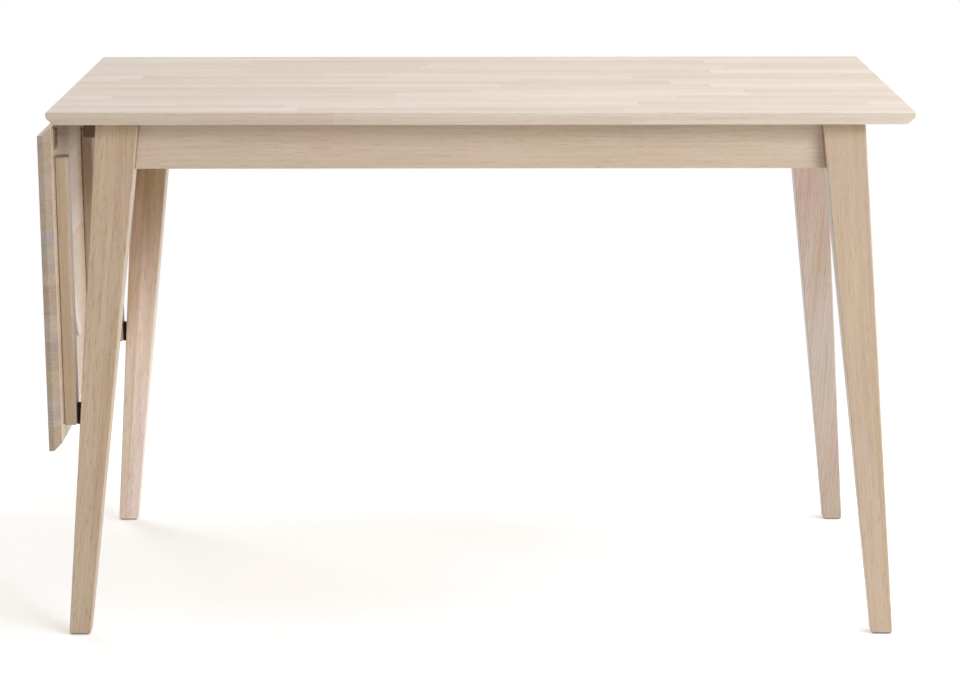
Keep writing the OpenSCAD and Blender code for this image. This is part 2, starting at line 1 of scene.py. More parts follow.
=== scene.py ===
"""Dresses the drop-leaf dining table in oak, brass, steel and rubber, and sets up its studio."""

import json
import math
import random

import bmesh
import bpy
from bpy.props import FloatProperty, FloatVectorProperty, PointerProperty
from mathutils import Matrix, Vector


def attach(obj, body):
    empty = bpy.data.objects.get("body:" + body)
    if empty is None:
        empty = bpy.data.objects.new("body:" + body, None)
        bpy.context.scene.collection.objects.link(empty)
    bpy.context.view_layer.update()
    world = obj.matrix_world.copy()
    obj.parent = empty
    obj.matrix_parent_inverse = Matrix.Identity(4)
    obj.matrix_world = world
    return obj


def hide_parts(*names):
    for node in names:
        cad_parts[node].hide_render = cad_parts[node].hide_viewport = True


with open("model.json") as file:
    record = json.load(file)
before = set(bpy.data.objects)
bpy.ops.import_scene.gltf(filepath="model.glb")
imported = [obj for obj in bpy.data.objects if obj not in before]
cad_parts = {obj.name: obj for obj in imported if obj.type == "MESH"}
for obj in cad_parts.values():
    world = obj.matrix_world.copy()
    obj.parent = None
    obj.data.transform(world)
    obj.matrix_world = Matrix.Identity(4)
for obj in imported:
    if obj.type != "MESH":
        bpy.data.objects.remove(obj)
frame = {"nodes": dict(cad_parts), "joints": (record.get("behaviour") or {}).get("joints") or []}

bl_info = {
    "name": "Drop-Leaf Dining Table",
    "version": (1, 0, 0),
    "blender": (4, 5, 0),
    "location": "3D View > Sidebar > Drop-Leaf Table",
    "description": "Makes the pieces of a whitewashed oak table with one hanging leaf",
    "category": "Object",
}

X, Y, Z = Vector((1, 0, 0)), Vector((0, 1, 0)), Vector((0, 0, 1))
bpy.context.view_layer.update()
LEAF_HINGE = next(joint for joint in frame["joints"] if joint["name"] == "leaf_hinge")
HINGE_AXIS = Matrix.Translation(LEAF_HINGE["pos_m"])
HANGING = HINGE_AXIS @ Matrix.Rotation(-math.radians(LEAF_HINGE["range_deg"][1]), 4, "Y")
SIDES = ("front", "rear")
LANES = ("front", "middle", "rear")

# Points nearer than MERGED are one point. NEAR tells whether a point lies at a place, and
# OFF_LEVEL how far the points of one level may lie apart. Points on the floor lie lower than
# ABOVE_FLOOR.
MERGED, NEAR, OFF_LEVEL = 1e-6, 1e-5, 2e-4
ABOVE_FLOOR = 1e-3

# The angles between the faces at an arris, the angle below which faces meet smoothly, and the
# one below which they are one flat face.
SHARP = (math.radians(25), math.radians(150))
SMOOTH_BELOW, FLAT_BELOW = math.radians(32), math.radians(0.5)

# How nearly a face looks along an axis: an end of the grain, and a side to be mortised.
END_GRAIN, FACES_ALONG = 0.5, 0.9

# Steps round a dish or a washer, a bolt, a hinge pin and a rolled knuckle.
ROUND, BOLT_STEPS, PIN_STEPS, KNUCKLE_STEPS = 40, 36, 28, 30

# Where the top is cut from the glued staves: its place along them and its first row. These
# settle which staves are pale.
TOP_CUT = (1.13, 20)

# Each leg's oak, the row of the stave grid that begins at its glue plane, how far that plane
# lies from the leg's middle, and the slope of the grain against the leg, in degrees. No row
# means solid.
LEGS = {
    "front_leaf": ("leg", -4, 0.0055, 0.0),
    "rear_leaf": ("pale_leg", -5, -0.0040, 0.0),
    "front_plain": ("plain_leg", 7, 0.0110, 0.0),
    "rear_plain": ("rear_leg", None, 0.0, 9.0),
}

# Shortest and longest stave against the usual length, and how far chance shifts a row.
STAVE_SPREAD = (0.75, 1.3)
ROW_SHIFT = 7.31

# A lamella as long as this has no joint in its length.
UNBROKEN = 60.0

# Heights over which a rear leg darkens upward: heartwood, and painted shade under the top.
HEART_AND_SHADE_LEVELS = (0.25, 0.60)

# Roundings of the blocks, wedges, stop pins, bumpers, plates, bends, hinge pins, washers and
# nuts, and the dish's floor against its rim.
BLOCK_ARRIS, WEDGE_ARRIS, STOP_PIN_DOME = 0.0010, 0.0007, 0.0008
BUMPER_CORNER, BUMPER_EDGE, DISH_FLOOR = 0.003, 0.0009, 0.86
PLATE_ARRIS, PLATE_CORNER, BEND_INSIDE, BEND_OUTSIDE = 0.00025, 0.003, 0.001, 0.0018
PIN_DOME, WASHER_CHAMFER, WASHER_PLAY, NUT_ARRIS = 0.0005, 0.0004, 0.0001, 0.0005

# A bumper's outer face has more corners than this, and its other faces have fewer.
BUMPER_CORNERS = 8

# A middle point of the pins' domes: its share of the radius, and of the dome's height.
DOME_RADIUS, DOME_RISE = 0.6, 0.25

# Length and width of a bracket's legs.
BRACKET_REACH, BRACKET_WIDTH = 0.022, 0.018

# The knuckles: how much of the hinge each outer one takes, how far each is rolled, its
# distance from the plate, and how far the plate's tongue runs into it.
KNUCKLE_SHARE = 0.3
KNUCKLE_ROLL = math.radians(292)
KNUCKLE_SPACE, TONGUE_OVERLAP, TONGUE_SINK = 0.0006, 0.001, 2e-5

# The bolts: the thread's length, the plain end after it, and the radius of the first end, of
# the thread's foot and of the last end against the bolt's own. Their washers and nuts lie
# within FITTING_REACH of them.
THREADED, BOLT_END, BOLT_CHAMFER = 0.020, 0.0010, 0.0008
FIRST_END, THREAD_FOOT, LAST_END = 0.85, 0.84, 0.80
FITTING_REACH = 0.02

# Tints of the light, and where the floor begins and ends to fade into white.
WARM, COOL, WHITE = (1.0, 0.94, 0.83), (0.95, 0.995, 1.08), (1, 1, 1)
FLOOR_FADE = (1.0, 2.2)

# Each lamp's place, the spot it is aimed at, its width and height, and its tint.
LAMPS = {
    "front": ((2.6, -3.9, 2.05), (0, 0, 0.5), (2.4, 1.25), COOL),
    "side": ((3.3, 0.2, 0.7), (0, 0, 0.45), (1.6, 0.9), WHITE),
    "rear": ((-3.0, 4.6, 2.4), (0, 0, 0.5), (3.0, 1.8), WHITE),
    "overhead": ((1.2, -0.2, 3.0), (0.3, 0, 0.7), (2.0, 2.0), WHITE),
}

# The camera's place, and its pan, tilt and roll in degrees.
CAMERA_SPOT = (0.00164, -5.42447, 1.30660)
PAN, TILT, ROLL = -0.0384, -10.0617, -0.05445


# --- Sizes and colours ---


def length(name, description, default):
    return FloatProperty(
        name=name, description=description, default=default, min=0, unit="LENGTH", precision=4
    )


def colour(name, description, default):
    return FloatVectorProperty(
        name=name, description=description, default=default, subtype="COLOR", min=0, max=1
    )


def level(name, description, default, unit="NONE"):
    return FloatProperty(name=name, description=description, default=default, min=0, unit=unit)


class TimberSizes(bpy.types.PropertyGroup):
    """Sizes of the woodwork that the frame doesn't give."""

    under_bevel: length("Under-edge bevel", "Bevel under the edges of the top and leaf", 0.010)
    board_arris: length("Board arris", "Rounding of the arrises of the top and leaf", 0.0009)
    leg_arris: length("Leg arris", "Rounding along the corners of the legs", 0.0016)
    sole_rounding: length("Sole rounding", "Rounding under the feet", 0.0048)
    rail_arris: length("Rail arris", "Rounding of the aprons and the cross rail", 0.0010)
    batten_chamfer: length("Batten chamfer", "Chamfer of the leaf battens", 0.0020)
    bar_chamfer: length("Bar chamfer", "Chamfer of the support bars", 0.0015)
    mortise_play: length("Mortise play", "Gap round a support bar in its mortise", 0.0005)
    stave_width: length("Stave width", "Width of the glued staves of top and leaf", 0.040)
    leg_lamella: length("Leg lamella", "Thickness of the lamellas glued into a leg", 0.045)
    stave_length: length("Stave length", "Usual length of a stave", 0.40)
    glue_line: length("Glue line", "Width of the line between two staves", 0.0005)


class Colours(bpy.types.PropertyGroup):
    """Colours of the timbers, the metals and the rubber, as they look in plain light."""

    top: colour("Top", "Whitewashed oak of the top", (0.70, 0.61, 0.52))
    leaf: colour("Leaf", "Whitewashed oak of the leaf", (0.71, 0.59, 0.47))
    leg: colour("Leg", "Brownest oak, of the front leg at the leaf's end", (0.58, 0.45, 0.325))
    plain_leg: colour("Plain leg", "Oak of the front leg at the plain end", (0.575, 0.455, 0.34))
    rear_leg: colour("Rear leg", "Paler oak of the rear leg at the plain end", (0.565, 0.475, 0.42))
    # The heart colours darken a rear leg further up: partly heartwood, partly painted shade under
    # the top.
    rear_heart_and_shade: colour("Rear leg heart", "Its heartwood further up", (0.50, 0.38, 0.31))
    # Its very pale foot is partly paler oak and partly painted light.
    pale_leg: colour("Pale leg", "Oak of the rear leg at the leaf's end", (0.935, 0.79, 0.69))
    # Partly heartwood, partly painted shade under the top.
    pale_heart_and_shade: colour("Pale leg heart", "Its heartwood further up", (0.515, 0.36, 0.20))
    rail: colour("Rails", "Oak of the aprons and the cross rail", (0.65, 0.545, 0.435))
    batten: colour("Battens", "Oak of the battens", (0.50, 0.39, 0.28))
    # The wedges are bare oak, made paler still as painted light on their sloping faces.
    wedge: colour("Wedges", "Pale bare oak of the wedges", (0.80, 0.74, 0.67))
    # The bars are given a dark brown, far darker than the blocks' beech.
    bar: colour("Bars", "Oiled beech of the support bars", (0.30, 0.17, 0.09))
    block: colour("Blocks", "Planed beech of the corner blocks and dowels", (0.56, 0.37, 0.22))
    brass: colour("Brass", "Dull brass of the hinges", (0.33, 0.25, 0.13))
    zinc: colour("Zinc plate", "Zinc-plated steel of the fixings", (0.52, 0.53, 0.56))
    pin: colour("Pin steel", "Bright steel of the hinge pins", (0.56, 0.57, 0.59))
    rubber: colour("Rubber", "Black rubber of the bumpers", (0.012, 0.0045, 0.004))


class Fixings(bpy.types.PropertyGroup):
    """Sizes of the hinges, brackets, bolts and bumpers."""

    hinge_plate: length("Hinge plate", "Thickness of the hinge plates", 0.0018)
    knuckle_wall: length("Knuckle wall", "Thickness of the rolled hinge knuckles", 0.0015)
    knuckle_gap: length("Knuckle gap", "Gap between two knuckles", 0.0004)
    bracket_plate: length("Bracket plate", "Thickness of the angle brackets", 0.0020)
    dish_radius: length("Dish radius", "Radius of the dish round a bumper's screw", 0.0042)
    dish_depth: length("Dish depth", "Depth of the dish round a bumper's screw", 0.0014)
    thread_pitch: length("Thread pitch", "Pitch of the leg bolts' thread", 0.00125)


class Studio(bpy.types.PropertyGroup):
    """Floor, lamps and camera."""

    floor: colour("Floor", "Colour of the studio floor", (0.90, 0.90, 0.90))
    floor_lift: level("Floor lift", "White added to the floor that the camera sees", 0.37)
    ambient: level("Ambient light", "Strength of the light from all round", 0.32)
    front: level("Front lamp", "Power of the large lamp in front, to the right", 124, "POWER")
    side: level("Side lamp", "Power of the low lamp that reaches under the top", 36, "POWER")
    rear: level("Rear lamp", "Power of the lamp that fills the far side", 120, "POWER")
    overhead: level("Overhead lamp", "Power of the lamp above", 45, "POWER")
    lens: level("Lens", "Focal length", 137.346, "CAMERA")


class TableSettings(bpy.types.PropertyGroup):
    """Everything that can be set on the table and its studio."""

    timber: PointerProperty(type=TimberSizes)
    colours: PointerProperty(type=Colours)
    fixings: PointerProperty(type=Fixings)
    studio: PointerProperty(type=Studio)


def settings():
    return bpy.context.scene.drop_leaf_table


# --- Shader wiring ---


class Wiring:
    """Adds nodes to one node tree; an input may be a value or another node's socket."""

    def __init__(self, tree):
        self.tree = tree

    def join(self, node, inputs):
        for key, value in dict(inputs).items():
            if isinstance(value, bpy.types.NodeSocket):
                self.tree.links.new(value, node.inputs[key])
            else:
                node.inputs[key].default_value = value

    def node(self, kind, inputs=(), **facts):
        """Facts are set before inputs, because a node's kind of data changes its sockets."""
        node = self.tree.nodes.new(kind)
        for key, value in facts.items():
            setattr(node, key, value)
        self.join(node, inputs)
        return node

    def math(self, operation, *values):
        return self.node("ShaderNodeMath", enumerate(values), operation=operation).outputs[0]

    def times(self, a, b):
        return self.math("MULTIPLY", a, b)

    def line(self, value, slope, start):
        """A value times a slope, and a start added to it."""
        return self.math("MULTIPLY_ADD", value, slope, start)

    def vector(self, operation, *values):
        node = self.node("ShaderNodeVectorMath", enumerate(values), operation=operation)
        return node.outputs[0]

    def scaled(self, vector, scale):
        return self.vector("MULTIPLY", vector, scale)

    def mix(self, factor, a, b, blend="MIX"):
        inputs = {0: factor, 6: a, 7: b}
        node = self.node("ShaderNodeMix", inputs, data_type="RGBA", blend_type=blend)
        return node.outputs[2]

    def dyed(self, tint, dye):
        """A colour times a dye of red, green and blue."""
        return self.mix(1.0, tint, (*dye, 1), "MULTIPLY")

    def span(self, value, low, high, to_low=0.0, to_high=1.0):
        """Takes a value from one span to another, and holds it there."""
        inputs = enumerate((value, low, high, to_low, to_high))
        return self.node("ShaderNodeMapRange", inputs).outputs[0]

    def noise(self, vector, scale, detail=2.0, roughness=0.5, result="Fac"):
        inputs = {"Vector": vector, "Scale": scale, "Detail": detail, "Roughness": roughness}
        return self.node("ShaderNodeTexNoise", inputs).outputs[result]

    def group(self, tree, inputs):
        return self.node("ShaderNodeGroup", inputs, node_tree=tree).outputs

    def attribute(self, name, result="Fac"):
        return self.node("ShaderNodeAttribute", attribute_name=name).outputs[result]

    def place(self):
        return self.node("ShaderNodeTexCoord").outputs["Object"]

    def join_surface(self, surface, depth, strength, **inputs):
        """Joins a group's colour, roughness and height to the material's shader."""
        bump = {"Height": surface["Height"], "Distance": depth, "Strength": strength}
        normal = self.node("ShaderNodeBump", bump).outputs["Normal"]
        inputs.update({"Roughness": surface["Roughness"], "Normal": normal})
        self.join(self.tree.nodes["Principled BSDF"], {"Base Color": surface["Colour"], **inputs})


SURFACE = {"Colour": "Color", "Roughness": "Float", "Height": "Float"}


def shader_group(title, inputs, outputs):
    """Makes a function that wires a group into one that gives the group, built only once.

    The wiring function takes the group's wires and its inputs, and returns its results by name.
    """

    def decorate(wire):
        def group():
            if title in bpy.data.node_groups:
                return bpy.data.node_groups[title]
            tree = bpy.data.node_groups.new(title, "ShaderNodeTree")
            for sockets, way in ((inputs, "INPUT"), (outputs, "OUTPUT")):
                for name, kind in sockets.items():
                    tree.interface.new_socket(name, in_out=way, socket_type="NodeSocket" + kind)
            given = tree.nodes.new("NodeGroupInput").outputs
            taken = tree.nodes.new("NodeGroupOutput").inputs
            for name, result in wire(Wiring(tree), given).items():
                tree.links.new(result, taken[name])
            return tree

        return group

    return decorate


@shader_group(
    "Glued staves",
    {"Wood": "Vector", "Stave Width": "Float", "Stave Length": "Float", "Glue Line": "Float"},
    {"Wood": "Vector", "Tone": "Float", "Joint": "Float"},
)
def glued_staves(wires, given):
    """Parts a board into staggered staves, each with its own stretch of timber and tone."""
    place = wires.node("ShaderNodeSeparateXYZ", {0: given["Wood"]}).outputs
    across = wires.math("DIVIDE", place["Y"], given["Stave Width"])
    row = wires.math("FLOOR", across)
    chance = wires.node("ShaderNodeTexWhiteNoise", {"W": row}, noise_dimensions="1D")
    chance = chance.outputs["Value"]
    stave = wires.times(given["Stave Length"], wires.span(chance, 0, 1, *STAVE_SPREAD))
    shift = wires.times(chance, ROW_SHIFT)
    along = wires.math("ADD", wires.math("DIVIDE", place["X"], stave), shift)
    column = wires.math("FLOOR", along)
    cell = wires.node("ShaderNodeCombineXYZ", {0: row, 1: column}).outputs[0]
    own = wires.node("ShaderNodeTexWhiteNoise", {"Vector": cell}, noise_dimensions="2D")
    gaps = []
    for run, size in ((across, given["Stave Width"]), (along, stave)):
        part = wires.math("FRACT", run)
        nearest = wires.math("MINIMUM", part, wires.math("SUBTRACT", 1.0, part))
        gaps.append(wires.times(nearest, size))
    half_line = wires.times(given["Glue Line"], 0.5)
    centred = wires.vector("SUBTRACT", own.outputs["Color"], (0.5, 0.5, 0.5))
    return {
        "Wood": wires.vector("ADD", given["Wood"], wires.scaled(centred, (3.0, 0.5, 0.5))),
        "Tone": own.outputs["Value"],
        "Joint": wires.math("LESS_THAN", wires.math("MINIMUM", *gaps), half_line),
    }


# What the oak figure takes beside the place in the wood and the colour.
FIGURE_LEVELS = ("Tone", "Contrast", "Figure", "Pores", "Wash", "End")


@shader_group(
    "Oak figure",
    {"Wood": "Vector", "Colour": "Color"} | dict.fromkeys(FIGURE_LEVELS, "Float"),
    SURFACE,
)
def oak_figure(wires, given):
    """Solid oak, its grain along the first coordinate: rings, streaks, pores and whitewash."""
    wood = given["Wood"]
    slow = wires.noise(wires.scaled(wood, (1.3, 8, 8)), 1.0, result="Color")
    sway = wires.vector("SUBTRACT", slow, (0.5, 0.5, 0.5))
    swayed = wires.vector("ADD", wood, wires.scaled(sway, (0, 0.035, 0.035)))
    rings = wires.node(
        "ShaderNodeTexWave",
        {"Vector": swayed, "Scale": 58.0, "Distortion": 2.2, "Detail": 2.0},
        wave_type="RINGS",
        rings_direction="X",
        wave_profile="SAW",
    ).outputs["Fac"]
    early = wires.span(rings, 0.0, 0.6, 1.0, 0.1)

    def drawn(stretch, scale, detail=2.0, roughness=0.5):
        place = wires.scaled(swayed, (stretch, 1, 1))
        return wires.noise(place, scale, detail, roughness)

    streak = drawn(0.03, 120.0, 3.0, 0.6)
    fibre = drawn(0.012, 800.0)
    cloud = drawn(0.3, 9.0)
    line = wires.span(drawn(0.05, 700.0, 1.0), 0.60, 0.72)
    pore = wires.span(drawn(0.06, 1500.0, 1.0), 0.60, 0.72)
    pore = wires.times(pore, wires.line(early, 0.7, 0.3))
    shade = wires.times(early, wires.line(given["End"], 0.12, 0.16))
    weights = ((streak, 0.9), (fibre, 0.5), (cloud, 0.7), (given["Tone"], given["Contrast"]))
    for part, weight in weights:
        swing = wires.times(wires.math("SUBTRACT", part, 0.5), weight)
        shade = wires.math("ADD", shade, swing)
    shade = wires.line(shade, given["Figure"], 0.3)
    shade = wires.math("MINIMUM", wires.math("MAXIMUM", shade, 0.0), 1.0)
    blush = wires.noise(wires.scaled(wood, (0.22, 1, 1)), 30.0, 2.0)
    straw = wires.dyed(given["Colour"], (1.0, 1.0, 0.96))
    rosy = wires.dyed(given["Colour"], (1.02, 0.985, 1.0))
    fresh = wires.mix(wires.span(blush, 0.38, 0.62), straw, rosy)
    deep = wires.dyed(fresh, (0.74, 0.64, 0.51))
    tint = wires.mix(shade, fresh, deep)
    soaked = wires.dyed(tint, (0.44, 0.41, 0.36))
    tint = wires.mix(wires.times(given["End"], 0.74), tint, soaked)
    blot = wires.noise(wood, 30.0, 3.0, 0.6)
    blot = wires.span(blot, 0.47, 0.60, 0.0, 0.9)
    ashen = wires.dyed(tint, (0.80, 0.86, 1.05))
    tint = wires.mix(wires.times(blot, given["End"]), tint, ashen)
    patch = wires.noise(wires.scaled(wood, (0.4, 1, 1)), 24.0, 3.0, 0.6)
    wash = wires.span(patch, 0.42, 0.74, 0.0, 0.34)
    chalk = wires.dyed(tint, (0.98, 1.02, 1.16))
    wash = wires.times(wash, wires.line(given["End"], 1.8, 1.0))
    tint = wires.mix(wires.times(wash, given["Wash"]), tint, chalk)
    dark = wires.dyed(given["Colour"], (0.44, 0.33, 0.23))
    marks = wires.math("MAXIMUM", pore, wires.times(line, 0.7))
    tint = wires.mix(wires.times(marks, given["Pores"]), tint, dark)
    height = wires.line(fibre, 0.25, 0.5)
    return {
        "Colour": tint,
        "Roughness": wires.line(shade, 0.16, 0.30),
        "Height": wires.math("SUBTRACT", height, marks),
    }


@shader_group(
    "Handled arris",
    {"Place": "Vector", "Colour": "Color", "Arris": "Float", "Strength": "Float"},
    {"Colour": "Color"},
)
def handled_arris(wires, given):
    """Lightens rounded arrises where handling has rubbed them, in uneven stretches."""
    patch = wires.noise(given["Place"], 38.0, 3.0, 0.6)
    rub = wires.times(wires.span(patch, 0.40, 0.62, 0.25, 1.0), given["Arris"])
    rub = wires.times(rub, given["Strength"])
    pale = wires.mix(0.5, given["Colour"], (0.95, 0.92, 0.88, 1))
    return {"Colour": wires.mix(rub, given["Colour"], pale)}


@shader_group("Brushed metal", {"Place": "Vector", "Colour": "Color", "Arris": "Float"}, SURFACE)
def brushed_metal(wires, given):
    """Brush marks drawn along X, dull blotches and worn bright arrises."""
    brush = wires.noise(wires.scaled(given["Place"], (0.04, 1, 1)), 3200.0)
    blotch = wires.noise(given["Place"], 190.0, 3.0, 0.65)
    dull = wires.dyed(given["Colour"], (0.55, 0.50, 0.44))
    bright = wires.mix(0.35, given["Colour"], (0.95, 0.93, 0.88, 1))
    tint = wires.mix(wires.span(blotch, 0.42, 0.72, 0.0, 0.7), given["Colour"], dull)
    rough = wires.line(blotch, 0.30, 0.16)
    return {
        "Colour": wires.mix(wires.times(given["Arris"], 0.6), tint, bright),
        "Roughness": wires.line(brush, 0.12, rough),
        "Height": brush,
    }


@shader_group("Moulded rubber", {"Place": "Vector", "Colour": "Color"}, SURFACE)
def moulded_rubber(wires, given):
    """Fine moulded grain with a bloom of dust."""
    bloom = wires.noise(given["Place"], 120.0, 3.0, 0.6)
    grey = wires.dyed(given["Colour"], (2.6, 3.2, 3.4))
    return {
        "Colour": wires.mix(wires.span(bloom, 0.45, 0.8, 0.0, 0.6), given["Colour"], grey),
        "Roughness": wires.span(bloom, 0.3, 0.7, 0.55, 0.85),
        "Height": wires.noise(given["Place"], 4200.0),
    }


# --- Finishes ---


def material(title, wire, *facts, **more):
    """The material of a title, wired by a function at its first use."""
    if title not in bpy.data.materials:
        made = bpy.data.materials.new(title)
        made.use_nodes = True
        wire(Wiring(made.node_tree), *facts, **more)
    return bpy.data.materials[title]


def heart_and_shade_tone(wires, wood, foot_tone, heartwood_and_shade):
    """The colour of a leg, pale at the foot and darker further up: partly heartwood, partly painted
    shade under the top.
    """
    height = wires.node("ShaderNodeSeparateXYZ", {0: wires.place()}).outputs["Z"]
    drift = wires.noise(wires.scaled(wood, (0.12, 1, 1)), 34.0)
    height = wires.line(wires.math("SUBTRACT", drift, 0.5), 0.45, height)
    return wires.mix(wires.span(height, *HEART_AND_SHADE_LEVELS), (*foot_tone, 1), (*heartwood_and_shade, 1))


def timber(
    wires, tone, figure=1.0, pores=0.5, contrast=0.4, wash=1.0, soak=1.0, glued=None, heart_and_shade=None
):
    """Oak or beech with a matt finish, read from the wood coordinates that a piece carries.

    Soak is how much darker the end grain gets. Glued says whether the timber is a board of
    staves or a leg of lamellas. Heart_and_shade names the colour that the tone darkens into
    further up, partly heartwood and partly painted shade under the top.
    """
    sizes = settings().timber
    wood = wires.attribute("wood", "Vector")
    inputs = {
        "Wood": wood,
        "Colour": (*tone, 1),
        "Tone": 0.5,
        "Contrast": contrast,
        "Figure": figure,
        "Pores": pores,
        "Wash": wash,
        "End": wires.times(wires.attribute("end"), soak),
    }
    # Darker further up: heartwood, and painted shade of the top.
    if heart_and_shade:
        inputs["Colour"] = heart_and_shade_tone(wires, wood, tone, getattr(settings().colours, heart_and_shade))
    if glued:
        width = sizes.stave_width if glued == "board" else sizes.leg_lamella
        stave = {"Wood": wood, "Stave Width": width, "Glue Line": sizes.glue_line}
        stave["Stave Length"] = sizes.stave_length if glued == "board" else UNBROKEN
        parted = wires.group(glued_staves(), stave)
        inputs.update({"Wood": parted["Wood"], "Tone": parted["Tone"]})
    figured = wires.group(oak_figure(), inputs)
    tint = figured["Colour"]
    if glued:
        glue = wires.dyed(tint, (0.70, 0.60, 0.48))
        tint = wires.mix(wires.times(parted["Joint"], 0.5), tint, glue)
    worn = {"Place": wood, "Colour": tint, "Arris": wires.attribute("arris"), "Strength": 0.3}
    tint = wires.group(handled_arris(), worn)["Colour"]
    surface = {"Colour": tint, "Roughness": figured["Roughness"], "Height": figured["Height"]}
    wires.join_surface(surface, 0.0002, 0.5, **{"Specular IOR Level": 0.6})


def metal(wires, tone):
    inputs = {"Place": wires.place(), "Colour": (*tone, 1), "Arris": wires.attribute("arris")}
    wires.join_surface(wires.group(brushed_metal(), inputs), 0.00005, 0.25, Metallic=1.0)


def rubber(wires, tone):
    inputs = {"Place": wires.place(), "Colour": (*tone, 1)}
    skin = wires.group(moulded_rubber(), inputs)
    wires.join_surface(skin, 0.00006, 0.4, **{"Specular IOR Level": 0.3})


# Each finish by the name of its colour: the stuff that its pieces' names begin with, its
# slot, its material's title, the function that wires it, and the figure, pores, contrast and
# other facts that this takes.
BOARD, LEG, BARE = {"glued": "board"}, {"glued": "leg"}, {"wash": 0.0}
# The rear leg at the leaf's end darkens further up, partly as painted shade under the top.
PALE_LEG = {"glued": "leg", "heart_and_shade": "pale_heart_and_shade"}
FINISHES = {
    "top": ("oak", "top_oak", "Top oak", timber, (0.8, 0.35, 0.45), BOARD),
    "leaf": ("oak", "leaf_oak", "Leaf oak", timber, (1.0, 0.4, 0.6), BOARD),
    "leg": ("oak", "leg_oak", "Leg oak", timber, (1.3, 0.7, 0.5), LEG),
    "plain_leg": ("oak", "leg_oak", "Plain leg oak", timber, (0.9, 0.45, 0.4), LEG),
    "pale_leg": ("oak", "leg_oak", "Pale leg oak", timber, (1.1, 0.6, 0.7), PALE_LEG),
    # This rear leg also darkens further up, partly as painted shade under the top.
    "rear_leg": ("oak", "leg_oak", "Rear leg oak", timber, (1.3, 0.5), {"heart_and_shade": "rear_heart_and_shade"}),
    "rail": ("oak", "rail_oak", "Rail oak", timber, (0.7,), {}),
    "batten": ("oak", "batten_oak", "Batten oak", timber, (), {"soak": 0.15}),
    "wedge": ("oak", "batten_oak", "Wedge oak", timber, (0.7, 0.3), {}),
    "bar": ("beech", "bar_beech", "Bar beech", timber, (0.8, 0.3), BARE),
    "block": ("beech", "block_beech", "Block beech", timber, (0.8, 0.25), BARE),
    "brass": ("brass", "hinge_brass", "Hinge brass", metal, (), {}),
    "zinc": ("steel", "fixing_steel", "Zinc-plated steel", metal, (), {}),
    "pin": ("steel", "hinge_pin_steel", "Pin steel", metal, (), {}),
    "rubber": ("rubber", "bumper_rubber", "Bumper rubber", rubber, (), {}),
}


# --- Shaping ---


def vertices_of(node, place=Matrix()):
    """A CAD node's vertices, in the place that a piece is drawn in."""
    back = place.inverted()
    return [back @ vertex.co for vertex in frame["nodes"][node].data.vertices]


def corners(points):
    low = Vector(min(point[axis] for point in points) for axis in range(3))
    high = Vector(max(point[axis] for point in points) for axis in range(3))
    return low, high


def span_of(node, place=Matrix()):
    return corners(vertices_of(node, place))


def level_at(node, height):
    """Corners of a CAD node's vertices at one height."""
    return corners([p for p in vertices_of(node) if abs(p.z - height) < OFF_LEVEL])


def block(bottom, top):
    """A block between two level rectangles, each given by its two corners."""
    bm = bmesh.new()
    bmesh.ops.create_cube(bm, size=1)
    lower = [vertex for vertex in bm.verts if vertex.co.z < 0]
    upper = [vertex for vertex in bm.verts if vertex.co.z > 0]
    for ring, side, (low, high) in ((lower, -0.5, bottom), (upper, 0.5, top)):
        size = high - low
        bmesh.ops.scale(bm, vec=(size.x, size.y, 1), verts=ring)
        middle = (low + high) / 2
        bmesh.ops.translate(bm, vec=(middle.x, middle.y, middle.z - side), verts=ring)
    return bm


def straight_block(low, high):
    bottom = (low, Vector((high.x, high.y, low.z)))
    top = (Vector((low.x, low.y, high.z)), high)
    return block(bottom, top)


def slice_at(bm, level, normal):
    """Cuts all faces along a plane that lies at a level along its normal."""
    bmesh.ops.bisect_plane(
        bm,
        geom=bm.verts[:] + bm.edges[:] + bm.faces[:],
        dist=MERGED,
        plane_co=normal * level,
        plane_no=normal,
    )


def edges_with(bm, holds):
    """The edges for whose both ends a test holds."""
    return [edge for edge in bm.edges if all(holds(vertex.co) for vertex in edge.verts)]


def rising(edges):
    """The edges that don't lie level."""
    return [edge for edge in edges if abs(edge.verts[0].co.z - edge.verts[1].co.z) > NEAR]


def only(kind, items):
    return [item for item in items if isinstance(item, kind)]


def sharp_edges(bm):
    low, high = SHARP
    joints = [edge for edge in bm.edges if len(edge.link_faces) == 2]
    return [edge for edge in joints if low < edge.calc_face_angle() < high]


def bevel(bm, edges, size, segments=1):
    return bmesh.ops.bevel(
        bm,
        geom=edges,
        offset=size,
        offset_type="OFFSET",
        segments=segments,
        profile=0.5,
        affect="EDGES",
        material=-1,
        clamp_overlap=True,
    )["faces"]


def ease(bm, size, segments=2, edges=None):
    """Rounds arrises, and marks the new faces so that the finish can wear there."""
    arris = bm.faces.layers.float.get("arris") or bm.faces.layers.float.new("arris")
    for face in bevel(bm, edges or sharp_edges(bm), size, segments):
        face[arris] = 1.0
        face.smooth = True
    return merged(bm)


def merged(bm, distance=MERGED):
    bmesh.ops.remove_doubles(bm, verts=bm.verts, dist=distance)
    return bm


def smooth(bm):
    for face in bm.faces:
        face.smooth = True
    return bm


def prism(outline, height):
    """Stands an outline of (x, y, z) points up by a height along Z."""
    bm = bmesh.new()
    face = bm.faces.new([bm.verts.new(point) for point in outline])
    made = bmesh.ops.extrude_face_region(bm, geom=[face])["geom"]
    bmesh.ops.translate(bm, vec=(0, 0, height), verts=only(bmesh.types.BMVert, made))
    bmesh.ops.recalc_face_normals(bm, faces=bm.faces)
    return bm


